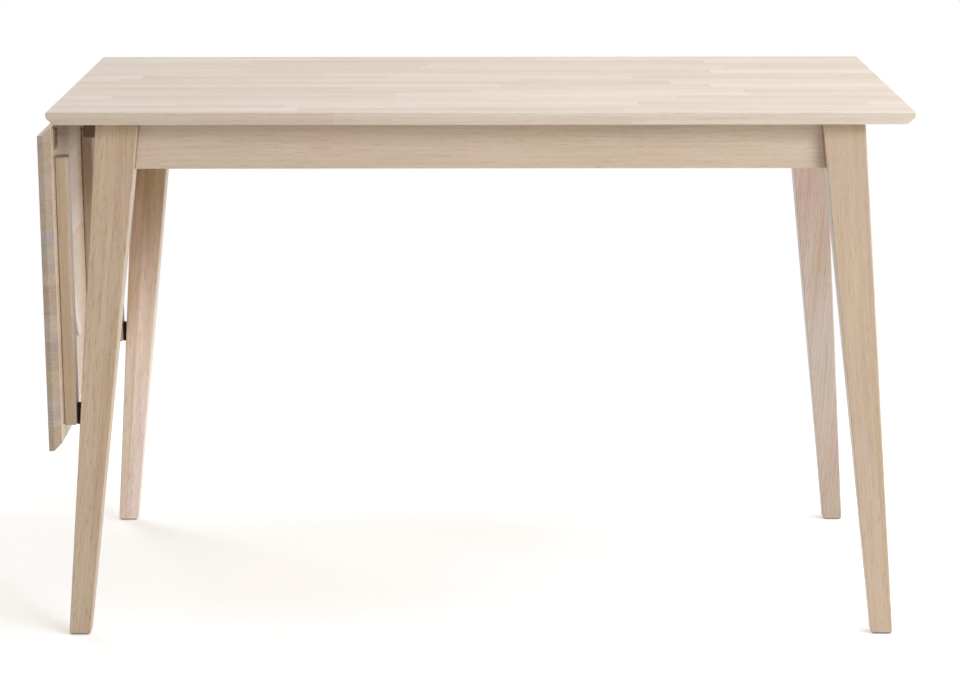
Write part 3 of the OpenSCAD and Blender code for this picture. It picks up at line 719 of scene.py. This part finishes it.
def turned(profile, steps, closed=False):
    """Turns a profile of (radius, height) points about Z."""
    bm = bmesh.new()
    points = [bm.verts.new((radius, 0, height)) for radius, height in profile]
    follow = points[1:] + points[:1] if closed else points[1:]
    lines = [bm.edges.new(pair) for pair in zip(points, follow)]
    bmesh.ops.spin(
        bm,
        geom=points + lines,
        axis=Z,
        cent=(0, 0, 0),
        angle=math.tau,
        steps=steps,
        use_merge=True,
    )
    return smooth(merged(bm))


def chamfered(inner, outer, low, high, chamfer):
    """Half the section of a rod or ring between two levels, chamfered outside."""
    return [
        (inner, low),
        (outer - chamfer, low),
        (outer, low + chamfer),
        (outer, high - chamfer),
        (outer - chamfer, high),
        (inner, high),
    ]


def gathered(parts):
    """One mesh from (mesh, place) pairs."""
    whole = bmesh.new()
    for part, place in parts:
        bmesh.ops.transform(part, matrix=place, verts=part.verts)
        passing = bpy.data.meshes.new("passing")
        part.to_mesh(passing)
        part.free()
        whole.from_mesh(passing)
        bpy.data.meshes.remove(passing)
    return whole


def smooth_copy(node):
    """A merged copy of a CAD node whose round faces shade smoothly."""
    bm = bmesh.new()
    bm.from_mesh(frame["nodes"][node].data)
    return smooth(merged(bm))


def middle_of(bm):
    low, high = corners([vertex.co for vertex in bm.verts])
    return (low + high) / 2


def pith_distance(title):
    """How far along the log, across and through it a piece is cut."""
    chance = random.Random(title)
    return Vector((chance.uniform(0, 5), chance.uniform(0.05, 0.11), chance.uniform(0.03, 0.08)))


def board_cut(along, row):
    """A board's cut from the stave grid, whose rows begin half a stave outside its sides."""
    width = settings().timber.stave_width
    return Vector(), Vector((along, (row - 0.5) * width, 0))


def link_object(title, data):
    made = bpy.data.objects.new(title, data)
    bpy.context.scene.collection.objects.link(made)
    return made


def add_piece(node, bm, body, finish, along=X, across=Y, place=None, cut=None):
    """Turns a shape into a named piece that rides on a body and stands for its CAD node.

    Each vertex keeps its place in the timber: along the grain, across it and through it. Cut
    is a point of the piece, and where in the timber it lies; the piece's middle lies at a
    random distance from the pith without it.
    """
    stuff, own_slot, label, wire, levels, facts = FINISHES[finish]
    title = stuff + "_" + node
    start, lies = cut or (middle_of(bm), pith_distance(title))
    through = along.cross(across).normalized()
    across = through.cross(along)
    wood = bm.verts.layers.float_vector.new("wood")
    end = bm.faces.layers.float.new("end")
    if not bm.faces.layers.float.get("arris"):
        bm.faces.layers.float.new("arris")
    bmesh.ops.recalc_face_normals(bm, faces=bm.faces)
    bm.normal_update()
    for vertex in bm.verts:
        point = vertex.co - start
        laid = Vector((point.dot(along), point.dot(across), point.dot(through)))
        vertex[wood] = laid + lies
    for face in bm.faces:
        face[end] = 1.0 if abs(face.normal.dot(along)) > END_GRAIN else 0.0
    for edge in bm.edges:
        edge.smooth = len(edge.link_faces) == 2 and edge.calc_face_angle(0) < SMOOTH_BELOW
    if place is not None:
        bmesh.ops.transform(bm, matrix=place, verts=bm.verts)
    mesh = bpy.data.meshes.new(title)
    bm.to_mesh(mesh)
    bm.free()
    tone = getattr(settings().colours, finish)
    mesh.materials.append(material(label, wire, tone, *levels, **facts))
    piece = link_object(title, mesh)
    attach(piece, body)
    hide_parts(node)
    return piece


# --- Boards ---


def bevelled_board(low, high, hinged_end=-1):
    """A board whose sides slope in under their upright part, with eased arrises.

    The hinged end of the leaf slopes out instead (1), so that it fits under the top's bevel.
    """
    sizes = settings().timber
    slope = sizes.under_bevel
    upright_end = high - X * slope if hinged_end > 0 else high
    bm = straight_block(low, upright_end)
    slice_at(bm, low.z + slope, Z)
    middle = (low + upright_end) / 2
    for vertex in bm.verts:
        if vertex.co.z < low.z + NEAR:
            vertex.co.x += slope if vertex.co.x < middle.x else slope * hinged_end
            vertex.co.y += slope if vertex.co.y < middle.y else -slope
    ease(bm, sizes.board_arris, 3, [edge for edge in sharp_edges(bm) if edge.is_convex])
    for vertex in bm.verts:
        vertex.co.y = min(max(vertex.co.y, low.y), high.y)
    return bm


class DROPLEAF_OT_top(bpy.types.Operator):
    """Make the fixed top, a board of glued staves bevelled under its edges"""

    bl_idname = "dropleaf.top"
    bl_label = "Table Top"

    def execute(self, context):
        bm = bevelled_board(*span_of("table_top"))
        add_piece("table_top", bm, "table", "top", cut=board_cut(*TOP_CUT))
        return {"FINISHED"}


class DROPLEAF_OT_leaf(bpy.types.Operator):
    """Make the hanging leaf, whose staves run across the table"""

    bl_idname = "dropleaf.leaf"
    bl_label = "Drop Leaf"

    def execute(self, context):
        bm = bevelled_board(*span_of("drop_leaf", HANGING), hinged_end=1)
        add_piece("drop_leaf", bm, "leaf", "leaf", Y, X, HANGING, board_cut(0, 0))
        return {"FINISHED"}


# --- Legs and rails ---


def foot_of(node):
    """A leg's rectangles at the floor and at the top.

    The lower one is carried down to the floor from the leg's sides above the sole's edge.
    """
    top_height = span_of(node)[1].z
    ring_height = min(point.z for point in vertices_of(node) if point.z > ABOVE_FLOOR)
    top, ring = level_at(node, top_height), level_at(node, ring_height)
    reach = ring_height / (top_height - ring_height)
    return tuple(near + (near - far) * reach for near, far in zip(ring, top)), top


class DROPLEAF_OT_legs(bpy.types.Operator):
    """Make the four tapered and splayed legs"""

    bl_idname = "dropleaf.legs"
    bl_label = "Legs"

    def execute(self, context):
        sizes = settings().timber
        for corner, (finish, row, glue_plane, slope) in LEGS.items():
            node = "leg_" + corner
            floor, top = foot_of(node)
            bm = block(floor, top)
            ease(bm, sizes.sole_rounding, 4, edges_with(bm, lambda point: point.z < NEAR))
            ease(bm, sizes.leg_arris, 3)
            lean = ((top[0] + top[1]) - (floor[0] + floor[1])).normalized()
            lean.rotate(Matrix.Rotation(math.radians(slope), 3, "Y"))
            lies = pith_distance("oak_" + node)
            if row is not None:
                lies.y = row * sizes.leg_lamella - glue_plane
            middle = (floor[0] + floor[1] + top[0] + top[1]) / 4
            add_piece(node, bm, "table", finish, lean, X, cut=(middle, lies))
        return {"FINISHED"}


def rail_block(node):
    """A rail between its upper and lower outlines."""
    low, high = span_of(node)
    return block(level_at(node, low.z), level_at(node, high.z))


def cut_mortises(bm, openings):
    """Cuts rectangular mortises along X through a block, as (y, y, z, z) openings."""
    for y_low, y_high, z_low, z_high in openings:
        for level, normal in ((y_low, Y), (y_high, Y), (z_low, Z), (z_high, Z)):
            slice_at(bm, level, normal)
    for y_low, y_high, z_low, z_high in openings:
        lids = []
        for face in bm.faces:
            middle = face.calc_center_median()
            inside = y_low < middle.y < y_high and z_low < middle.z < z_high
            if inside and abs(face.normal.x) > FACES_ALONG:
                lids.append(face)
        rims = list({edge for face in lids for edge in face.edges})
        bmesh.ops.delete(bm, geom=lids, context="FACES_ONLY")
        bmesh.ops.bridge_loops(bm, edges=rims)
        bm.normal_update()
    bmesh.ops.dissolve_limit(bm, angle_limit=FLAT_BELOW, verts=bm.verts, edges=bm.edges)


class DROPLEAF_OT_rails(bpy.types.Operator):
    """Make the four aprons and the cross rail, with mortises for the support bars"""

    bl_idname = "dropleaf.rails"
    bl_label = "Aprons and Cross Rail"

    def execute(self, context):
        sizes = settings().timber
        play = sizes.mortise_play
        openings = []
        for side in SIDES:
            low, high = span_of("support_bar_" + side)
            openings.append((low.y - play, high.y + play, low.z - play, high.z + play))
        rails = {
            "front_apron": (X, ()),
            "rear_apron": (X, ()),
            "leaf_end_apron": (Y, openings),
            "plain_end_apron": (Y, ()),
            "cross_rail": (Y, openings),
        }
        for node, (along, mortises) in rails.items():
            bm = rail_block(node)
            if mortises:
                cut_mortises(bm, mortises)
            add_piece(node, ease(bm, sizes.rail_arris), "table", "rail", along, Z)
        return {"FINISHED"}


class DROPLEAF_OT_corner_blocks(bpy.types.Operator):
    """Make the beech blocks across the corners of the frame"""

    bl_idname = "dropleaf.corner_blocks"
    bl_label = "Corner Blocks"

    def execute(self, context):
        for corner in LEGS:
            node = "block_" + corner
            low, high = span_of(node)
            middle = (low + high) / 2
            lower = [point for point in vertices_of(node) if point.z < low.z + NEAR]
            outline = {(round(point.x, 6), round(point.y, 6)) for point in lower}
            ring = sorted(outline, key=lambda p: math.atan2(p[1] - middle.y, p[0] - middle.x))
            bm = ease(prism([(x, y, low.z) for x, y in ring], high.z - low.z), BLOCK_ARRIS)
            along = Vector((1, -1 if middle.x * middle.y > 0 else 1, 0)).normalized()
            add_piece(node, bm, "table", "block", along, Z)
        return {"FINISHED"}


# --- Leaf fittings ---


def chamfered_bar(low, high, chamfer):
    """A straight bar with chamfered edges, their corners just rounded."""
    bm = straight_block(low, high)
    bevel(bm, bm.edges[:], chamfer)
    return ease(bm, chamfer / 5)


class DROPLEAF_OT_battens(bpy.types.Operator):
    """Make the three battens under the leaf"""

    bl_idname = "dropleaf.battens"
    bl_label = "Leaf Battens"

    def execute(self, context):
        for lane in LANES:
            node = "batten_" + lane
            bm = chamfered_bar(*span_of(node, HANGING), settings().timber.batten_chamfer)
            add_piece(node, bm, "leaf", "batten", place=HANGING)
        return {"FINISHED"}


class DROPLEAF_OT_wedges(bpy.types.Operator):
    """Make the wedges that the support bars slide under"""

    bl_idname = "dropleaf.wedges"
    bl_label = "Leaf Wedges"

    def execute(self, context):
        for side in SIDES:
            node = "wedge_" + side
            low, high = span_of(node, HANGING)
            bm = straight_block(low, high)
            thin_end = [v for v in bm.verts if v.co.x > high.x - NEAR and v.co.z < low.z + NEAR]
            bmesh.ops.translate(bm, vec=(0, 0, high.z - low.z), verts=thin_end)
            ease(merged(bm, NEAR), WEDGE_ARRIS)
            add_piece(node, bm, "leaf", "wedge", place=HANGING)
        return {"FINISHED"}


def sink_dish(bm, face, radius, depth):
    """Sinks a round dish into the middle of a face that looks down."""
    middle = (min(v.co.x for v in face.verts) + max(v.co.x for v in face.verts)) / 2
    middle = Vector((middle, face.calc_center_median().y, face.verts[0].co.z))
    outline = list(face.edges)
    bmesh.ops.delete(bm, geom=[face], context="FACES_ONLY")
    ring = bmesh.ops.create_circle(bm, segments=ROUND, radius=radius)["verts"]
    bmesh.ops.translate(bm, vec=middle, verts=ring)
    rim = list({edge for vertex in ring for edge in vertex.link_edges})
    bmesh.ops.triangle_fill(bm, edges=outline + rim, use_beauty=True, normal=-Z)
    made = bmesh.ops.extrude_edge_only(bm, edges=rim)["geom"]
    sunk = only(bmesh.types.BMVert, made)
    inwards = Matrix.Translation(-middle)
    bmesh.ops.scale(bm, vec=(DISH_FLOOR, DISH_FLOOR, 1), verts=sunk, space=inwards)
    bmesh.ops.translate(bm, vec=(0, 0, depth), verts=sunk)
    floor = [e for e in only(bmesh.types.BMEdge, made) if all(v in sunk for v in e.verts)]
    bmesh.ops.edgeloop_fill(bm, edges=floor)


def lowest(faces):
    return min(faces, key=lambda face: face.calc_center_median().z)


class DROPLEAF_OT_bumpers(bpy.types.Operator):
    """Make the rubber bumpers at the ends of the outer battens, dished for their screws"""

    bl_idname = "dropleaf.bumpers"
    bl_label = "Bumpers"

    def execute(self, context):
        sizes = settings().fixings
        for side in SIDES:
            node = "bumper_" + side
            bm = straight_block(*span_of(node, HANGING))
            bevel(bm, rising(bm.edges), BUMPER_CORNER, 3)
            ease(bm, BUMPER_EDGE, 3, list(lowest(bm.faces).edges))
            bm.normal_update()
            outer = lowest([face for face in bm.faces if len(face.verts) > BUMPER_CORNERS])
            sink_dish(bm, outer, sizes.dish_radius, sizes.dish_depth)
            add_piece(node, bm, "leaf", "rubber", place=HANGING)
        return {"FINISHED"}


# --- Support bars ---


class DROPLEAF_OT_support_bars(bpy.types.Operator):
    """Make the pull-out bars that hold the raised leaf, each with its stop pin"""

    bl_idname = "dropleaf.support_bars"
    bl_label = "Support Bars"

    def execute(self, context):
        for side in SIDES:
            node = "support_bar_" + side
            bm = chamfered_bar(*span_of(node), settings().timber.bar_chamfer)
            add_piece(node, bm, "bar_" + side, "bar")
            node = "stop_pin_" + side
            low, high = span_of(node)
            middle = (low + high) / 2
            bm = turned(chamfered(0, (high.x - low.x) / 2, low.z, high.z, STOP_PIN_DOME), ROUND)
            bmesh.ops.translate(bm, vec=(middle.x, middle.y, 0), verts=bm.verts)
            add_piece(node, bm, "bar_" + side, "bar", Z, X)
        return {"FINISHED"}


# --- Hinges ---


def rolled_knuckle(start, end, radius, wall):
    """The end of a hinge plate, rolled round the pin between two places along it."""
    bm = bmesh.new()
    inner = radius - wall
    ring = [(0, start, inner), (0, start, radius), (0, end, radius), (0, end, inner)]
    face = bm.faces.new([bm.verts.new(point) for point in ring])
    bmesh.ops.spin(
        bm,
        geom=[face] + list(face.edges) + list(face.verts),
        axis=Y,
        cent=(0, 0, 0),
        angle=-KNUCKLE_ROLL,
        steps=KNUCKLE_STEPS,
    )
    bmesh.ops.recalc_face_normals(bm, faces=bm.faces)
    return smooth(bm)


def hinge_half(reach, rise, radius, half_width, stretches):
    """A plate towards +X with its knuckles over stretches along the hinge."""
    fixings = settings().fixings
    under = rise - fixings.hinge_plate
    near_corner = Vector((radius + KNUCKLE_SPACE, -half_width, under))
    plate = straight_block(near_corner, Vector((reach, half_width, rise)))
    far_edges = edges_with(plate, lambda point: point.x > reach - NEAR)
    bevel(plate, rising(far_edges), PLATE_CORNER, 5)
    parts = [(ease(plate, PLATE_ARRIS), Matrix())]
    for start, end in stretches:
        tongue_end = Vector((radius + TONGUE_OVERLAP, end, rise - TONGUE_SINK))
        parts.append((straight_block(Vector((0, start, under)), tongue_end), Matrix()))
        parts.append((rolled_knuckle(start, end, radius, fixings.knuckle_wall), Matrix()))
    return gathered(parts)


class DROPLEAF_OT_hinges(bpy.types.Operator):
    """Make the three hinges, with a plate under the top, a plate under the leaf and a pin"""

    bl_idname = "dropleaf.hinges"
    bl_label = "Hinges"

    def execute(self, context):
        gap = settings().fixings.knuckle_gap
        for lane in LANES:
            node = "hinge_top_" + lane
            low, high = span_of(node)
            lane_place = Matrix.Translation((0, (low.y + high.y) / 2, 0))
            hinge = HINGE_AXIS @ lane_place
            low, high = span_of(node, hinge)
            radius, half = -low.x, high.y
            inner = half - (high.y - low.y) * KNUCKLE_SHARE
            bm = hinge_half(high.x, high.z, radius, half, [(-half, -inner), (inner, half)])
            add_piece(node, bm, "table", "brass", place=hinge)
            bm = hinge_half(high.x, high.z, radius, half, [(gap - inner, inner - gap)])
            folded = HANGING @ lane_place @ Matrix.Rotation(math.pi, 4, "Z")
            add_piece("hinge_leaf_" + lane, bm, "leaf", "brass", place=folded)
            node = "hinge_pin_" + lane
            low, high = span_of(node, hinge)
            profile = [
                (0, low.y),
                (high.x * DOME_RADIUS, low.y + PIN_DOME * DOME_RISE),
                (high.x, low.y + PIN_DOME),
            ]
            profile += [(radius, -end) for radius, end in reversed(profile)]
            lying = hinge @ Matrix.Rotation(-math.pi / 2, 4, "X")
            add_piece(node, turned(profile, PIN_STEPS), "table", "pin", place=lying)
        return {"FINISHED"}


# --- Fixings ---


class DROPLEAF_OT_screws(bpy.types.Operator):
    """Finish the screws of the hinges, brackets, battens, wedges and bumpers"""

    bl_idname = "dropleaf.screws"
    bl_label = "Screws"

    def execute(self, context):
        screws = {
            "hinge_top_screws": ("table", "brass"),
            "hinge_leaf_screws": ("leaf", "brass"),
            "bracket_screws": ("table", "zinc"),
            "batten_screws": ("leaf", "zinc"),
            "wedge_screws": ("leaf", "zinc"),
            "bumper_screws": ("leaf", "zinc"),
        }
        for node, (body, finish) in screws.items():
            add_piece(node, smooth_copy(node), body, finish)
        return {"FINISHED"}


def bolt_places():
    """The four bolts' places, pointing to the middle of the table, with their length and radius."""
    points = vertices_of("leg_bolts")
    middle = sum(points, Vector()) / len(points)
    places = []
    for side in (Vector((x, y, 0)) for x in (-1, 1) for y in (-1, 1)):
        offsets = ((point, point - middle) for point in points)
        own = [point for point, off in offsets if off.x * side.x > 0 and off.y * side.y > 0]
        low, high = corners(own)
        radius = (high.z - low.z) / 2
        reach = (high.x - low.x) * math.sqrt(2) - 2 * radius
        inwards = -side.normalized()
        start = (low + high) / 2 - inwards * reach / 2
        turn = Z.rotation_difference(inwards).to_matrix().to_4x4()
        places.append((Matrix.Translation(start) @ turn, reach, radius))
    return places


def near_bolt(node, place):
    """The vertices of a node's solid on a bolt, in the bolt's own place."""
    points = vertices_of(node, place)
    return [p for p in points if abs(p.x) < FITTING_REACH and abs(p.y) < FITTING_REACH]


def threaded_bolt(reach, radius, pitch):
    """A bolt with a chamfered end and thread rings over its last stretch."""
    profile = [(0, 0), (radius * FIRST_END, 0), (radius, BOLT_CHAMFER)]
    rings = int(THREADED / pitch)
    start = reach - BOLT_END - rings * pitch
    for ring in range(rings):
        foot = start + ring * pitch
        profile += [(radius * THREAD_FOOT, foot + pitch * 0.1), (radius, foot + pitch * 0.5)]
    profile += [(radius * LAST_END, reach), (0, reach)]
    return turned(profile, BOLT_STEPS)


class DROPLEAF_OT_leg_bolts(bpy.types.Operator):
    """Make the bolts, washers and nuts that pull the legs against their corner blocks"""

    bl_idname = "dropleaf.leg_bolts"
    bl_label = "Leg Bolts"

    def execute(self, context):
        bolts, washers, nuts = [], [], []
        for place, reach, radius in bolt_places():
            bolts.append((threaded_bolt(reach, radius, settings().fixings.thread_pitch), place))
            low, high = corners(near_bolt("leg_washers", place))
            ring = chamfered(radius + WASHER_PLAY, high.x, low.z, high.z, WASHER_CHAMFER)
            washers.append((turned(ring, ROUND, closed=True), place))
            points = near_bolt("leg_nuts", place)
            low, high = corners(points)
            radius = max(point.xy.length for point in points)
            turns = [math.tau * side / 6 for side in range(6)]
            hexagon = [(radius * math.cos(turn), radius * math.sin(turn), low.z) for turn in turns]
            nuts.append((ease(prism(hexagon, high.z - low.z), NUT_ARRIS), place))
        for node, parts in (("leg_bolts", bolts), ("leg_washers", washers), ("leg_nuts", nuts)):
            add_piece(node, gathered(parts), "table", "zinc")
        return {"FINISHED"}


def bracket_places():
    """The six brackets' bends under the top: on the long aprons and on the end aprons."""
    front, rear = span_of("front_apron"), span_of("rear_apron")
    left, right = span_of("leaf_end_apron"), span_of("plain_end_apron")
    top = front[1].z
    middle = (left[1].x + right[0].x) / 2
    on_sides = [point for point in vertices_of("top_brackets") if abs(point.y) > rear[0].y / 2]
    lane = max(abs(point.x - middle) for point in on_sides) - BRACKET_WIDTH / 2
    places = []
    for x in (middle - lane, middle + lane):
        places.append(((x, front[1].y, top), math.pi / 2))
        places.append(((x, rear[0].y, top), -math.pi / 2))
    places.append(((left[1].x, 0, top), 0))
    places.append(((right[0].x, 0, top), math.pi))
    return [Matrix.Translation(spot) @ Matrix.Rotation(turn, 4, "Z") for spot, turn in places]


def angle_bracket(plate):
    """A bracket that stands on its side, its bend rounded inside and outside."""
    reach = BRACKET_REACH
    outline = [(0, 0), (0, -reach), (plate, -reach), (plate, -plate), (reach, -plate), (reach, 0)]
    bm = prism([(x, y, 0) for x, y in outline], BRACKET_WIDTH)
    for spot, size, segments in (((plate, -plate), BEND_INSIDE, 3), ((0, 0), BEND_OUTSIDE, 4)):
        bend = edges_with(bm, lambda point: (point.xy - Vector(spot)).length < NEAR)
        bevel(bm, bend, size, segments)
    return ease(bm, PLATE_ARRIS)


class DROPLEAF_OT_brackets(bpy.types.Operator):
    """Make the angle brackets that hold the top to the aprons"""

    bl_idname = "dropleaf.brackets"
    bl_label = "Angle Brackets"

    def execute(self, context):
        plate = settings().fixings.bracket_plate
        centred = Matrix.Translation((0, 0, -BRACKET_WIDTH / 2))
        stand = Matrix.Rotation(math.pi / 2, 4, "X") @ centred
        parts = [(angle_bracket(plate), place @ stand) for place in bracket_places()]
        add_piece("top_brackets", gathered(parts), "table", "zinc")
        return {"FINISHED"}


class DROPLEAF_OT_dowels(bpy.types.Operator):
    """Finish the beech dowels in the joints of the frame"""

    bl_idname = "dropleaf.dowels"
    bl_label = "Dowels"

    def execute(self, context):
        for node in ("apron_dowels", "rail_dowels"):
            add_piece(node, smooth_copy(node), "table", "block", Y, Z)
        return {"FINISHED"}


# --- Studio ---


def area_lamp(title, power, spot, aim, size, tone):
    """A soft lamp that leaves no burnt-out reflection of itself on the boards."""
    lamp = bpy.data.lights.new(title, "AREA")
    lamp.shape = "RECTANGLE"
    lamp.size, lamp.size_y = size
    lamp.energy = power
    lamp.color = tone
    holder = link_object(title, lamp)
    holder.location = spot
    holder.visible_glossy = False
    holder.rotation_euler = (Vector(aim) - Vector(spot)).to_track_quat("-Z", "Y").to_euler()


def seen_rays(wires):
    """Where a ray looks at a thing, straight or in a reflection, and doesn't gather light."""
    path = wires.node("ShaderNodeLightPath").outputs
    seen = wires.math("MAXIMUM", path["Is Camera Ray"], path["Is Glossy Ray"])
    return wires.math("MAXIMUM", seen, path["Is Transmission Ray"])


def mixed_shader(wires, factor, first, second):
    return wires.node("ShaderNodeMixShader", {0: factor, 1: first, 2: second}).outputs[0]


def plain_surround(ambient):
    """Even, faintly warm light from all round, seen as plain white in reflections."""
    world = bpy.context.scene.world or bpy.data.worlds.new("Studio")
    bpy.context.scene.world = world
    world.use_nodes = True
    world.node_tree.nodes.clear()
    wires = Wiring(world.node_tree)
    shades = []
    for tone, strength in ((WARM, ambient), (WHITE, 1.0)):
        inputs = {"Color": (*tone, 1), "Strength": strength}
        shades.append(wires.node("ShaderNodeBackground", inputs).outputs[0])
    surround = mixed_shader(wires, seen_rays(wires), *shades)
    wires.node("ShaderNodeOutputWorld", {"Surface": surround})


def floor_finish(wires, tone, lift):
    """A matt floor, lifted a little where it is looked at, that fades into plain white."""
    place = wires.place()
    grain = wires.span(wires.noise(place, 60.0, 3.0), 0.3, 0.7, 0.0, 0.02)
    tint = wires.mix(grain, (*tone, 1), (0.8, 0.8, 0.8, 1))
    shader = wires.tree.nodes["Principled BSDF"]
    wires.join(shader, {"Base Color": tint, "Roughness": 0.9, "Specular IOR Level": 0.1})
    away = wires.node("ShaderNodeVectorMath", {0: place}, operation="LENGTH").outputs["Value"]
    seen = seen_rays(wires)
    faded = wires.times(wires.span(away, *FLOOR_FADE), seen)
    white = wires.node("ShaderNodeEmission", {"Color": (*WHITE, 1), "Strength": 1.0})
    lifted = wires.node("ShaderNodeEmission", {"Strength": wires.times(seen, lift)})
    lit = wires.node("ShaderNodeAddShader", {0: shader.outputs[0], 1: lifted.outputs[0]})
    surface = mixed_shader(wires, faded, lit.outputs[0], white.outputs[0])
    wires.join(wires.tree.nodes["Material Output"], {"Surface": surface})


def studio_floor(tone, lift):
    """A pale floor that keeps the table's soft shadow and runs out into plain white."""
    bm = bmesh.new()
    bmesh.ops.create_grid(bm, x_segments=8, y_segments=8, size=20)
    mesh = bpy.data.meshes.new("studio_floor")
    bm.to_mesh(mesh)
    bm.free()
    link_object("studio_floor", mesh)
    mesh.materials.append(material("Studio floor", floor_finish, tone, lift))


def fixed_camera(lens):
    camera = bpy.data.cameras.new("camera")
    camera.sensor_width = 36.0
    camera.lens = lens
    camera.clip_end = 60.0
    place = Matrix.Translation(CAMERA_SPOT)
    for degrees, axis in ((PAN, "Z"), (90 + TILT, "X"), (ROLL, "Z")):
        place = place @ Matrix.Rotation(math.radians(degrees), 4, axis)
    holder = link_object("camera", camera)
    holder.matrix_world = place
    bpy.context.scene.camera = holder


class DROPLEAF_OT_studio(bpy.types.Operator):
    """Set up the pale floor, the soft lamps and the camera"""

    bl_idname = "dropleaf.studio"
    bl_label = "Studio"

    def execute(self, context):
        studio = settings().studio
        context.scene.view_settings.view_transform = "Standard"
        plain_surround(studio.ambient)
        studio_floor(studio.floor, studio.floor_lift)
        for name, facts in LAMPS.items():
            area_lamp(name + "_lamp", getattr(studio, name), *facts)
        fixed_camera(studio.lens)
        return {"FINISHED"}


# --- Add-on ---


class DROPLEAF_PT_panel(bpy.types.Panel):
    """Lists the table's pieces in the order in which they are made"""

    bl_idname = "DROPLEAF_PT_panel"
    bl_label = "Drop-Leaf Table"
    bl_space_type = "VIEW_3D"
    bl_region_type = "UI"
    bl_category = "Drop-Leaf Table"

    def draw(self, context):
        for operator in OPERATORS:
            self.layout.operator(operator.bl_idname)
        table = context.scene.drop_leaf_table
        for group in (table.timber, table.colours, table.fixings, table.studio):
            box = self.layout.box()
            for name in type(group).__annotations__:
                box.prop(group, name)


OPERATORS = (
    DROPLEAF_OT_top,
    DROPLEAF_OT_leaf,
    DROPLEAF_OT_legs,
    DROPLEAF_OT_rails,
    DROPLEAF_OT_corner_blocks,
    DROPLEAF_OT_battens,
    DROPLEAF_OT_wedges,
    DROPLEAF_OT_bumpers,
    DROPLEAF_OT_support_bars,
    DROPLEAF_OT_hinges,
    DROPLEAF_OT_screws,
    DROPLEAF_OT_leg_bolts,
    DROPLEAF_OT_brackets,
    DROPLEAF_OT_dowels,
    DROPLEAF_OT_studio,
)
GROUPS = (TimberSizes, Colours, Fixings, Studio, TableSettings)


def register():
    for entry in GROUPS + OPERATORS + (DROPLEAF_PT_panel,):
        bpy.utils.register_class(entry)
    bpy.types.Scene.drop_leaf_table = PointerProperty(type=TableSettings)


def unregister():
    del bpy.types.Scene.drop_leaf_table
    for entry in reversed(GROUPS + OPERATORS + (DROPLEAF_PT_panel,)):
        bpy.utils.unregister_class(entry)


def main():
    register()
    for operator in OPERATORS:
        family, name = operator.bl_idname.split(".")
        getattr(getattr(bpy.ops, family), name)()


if __name__ == "__main__":
    main()
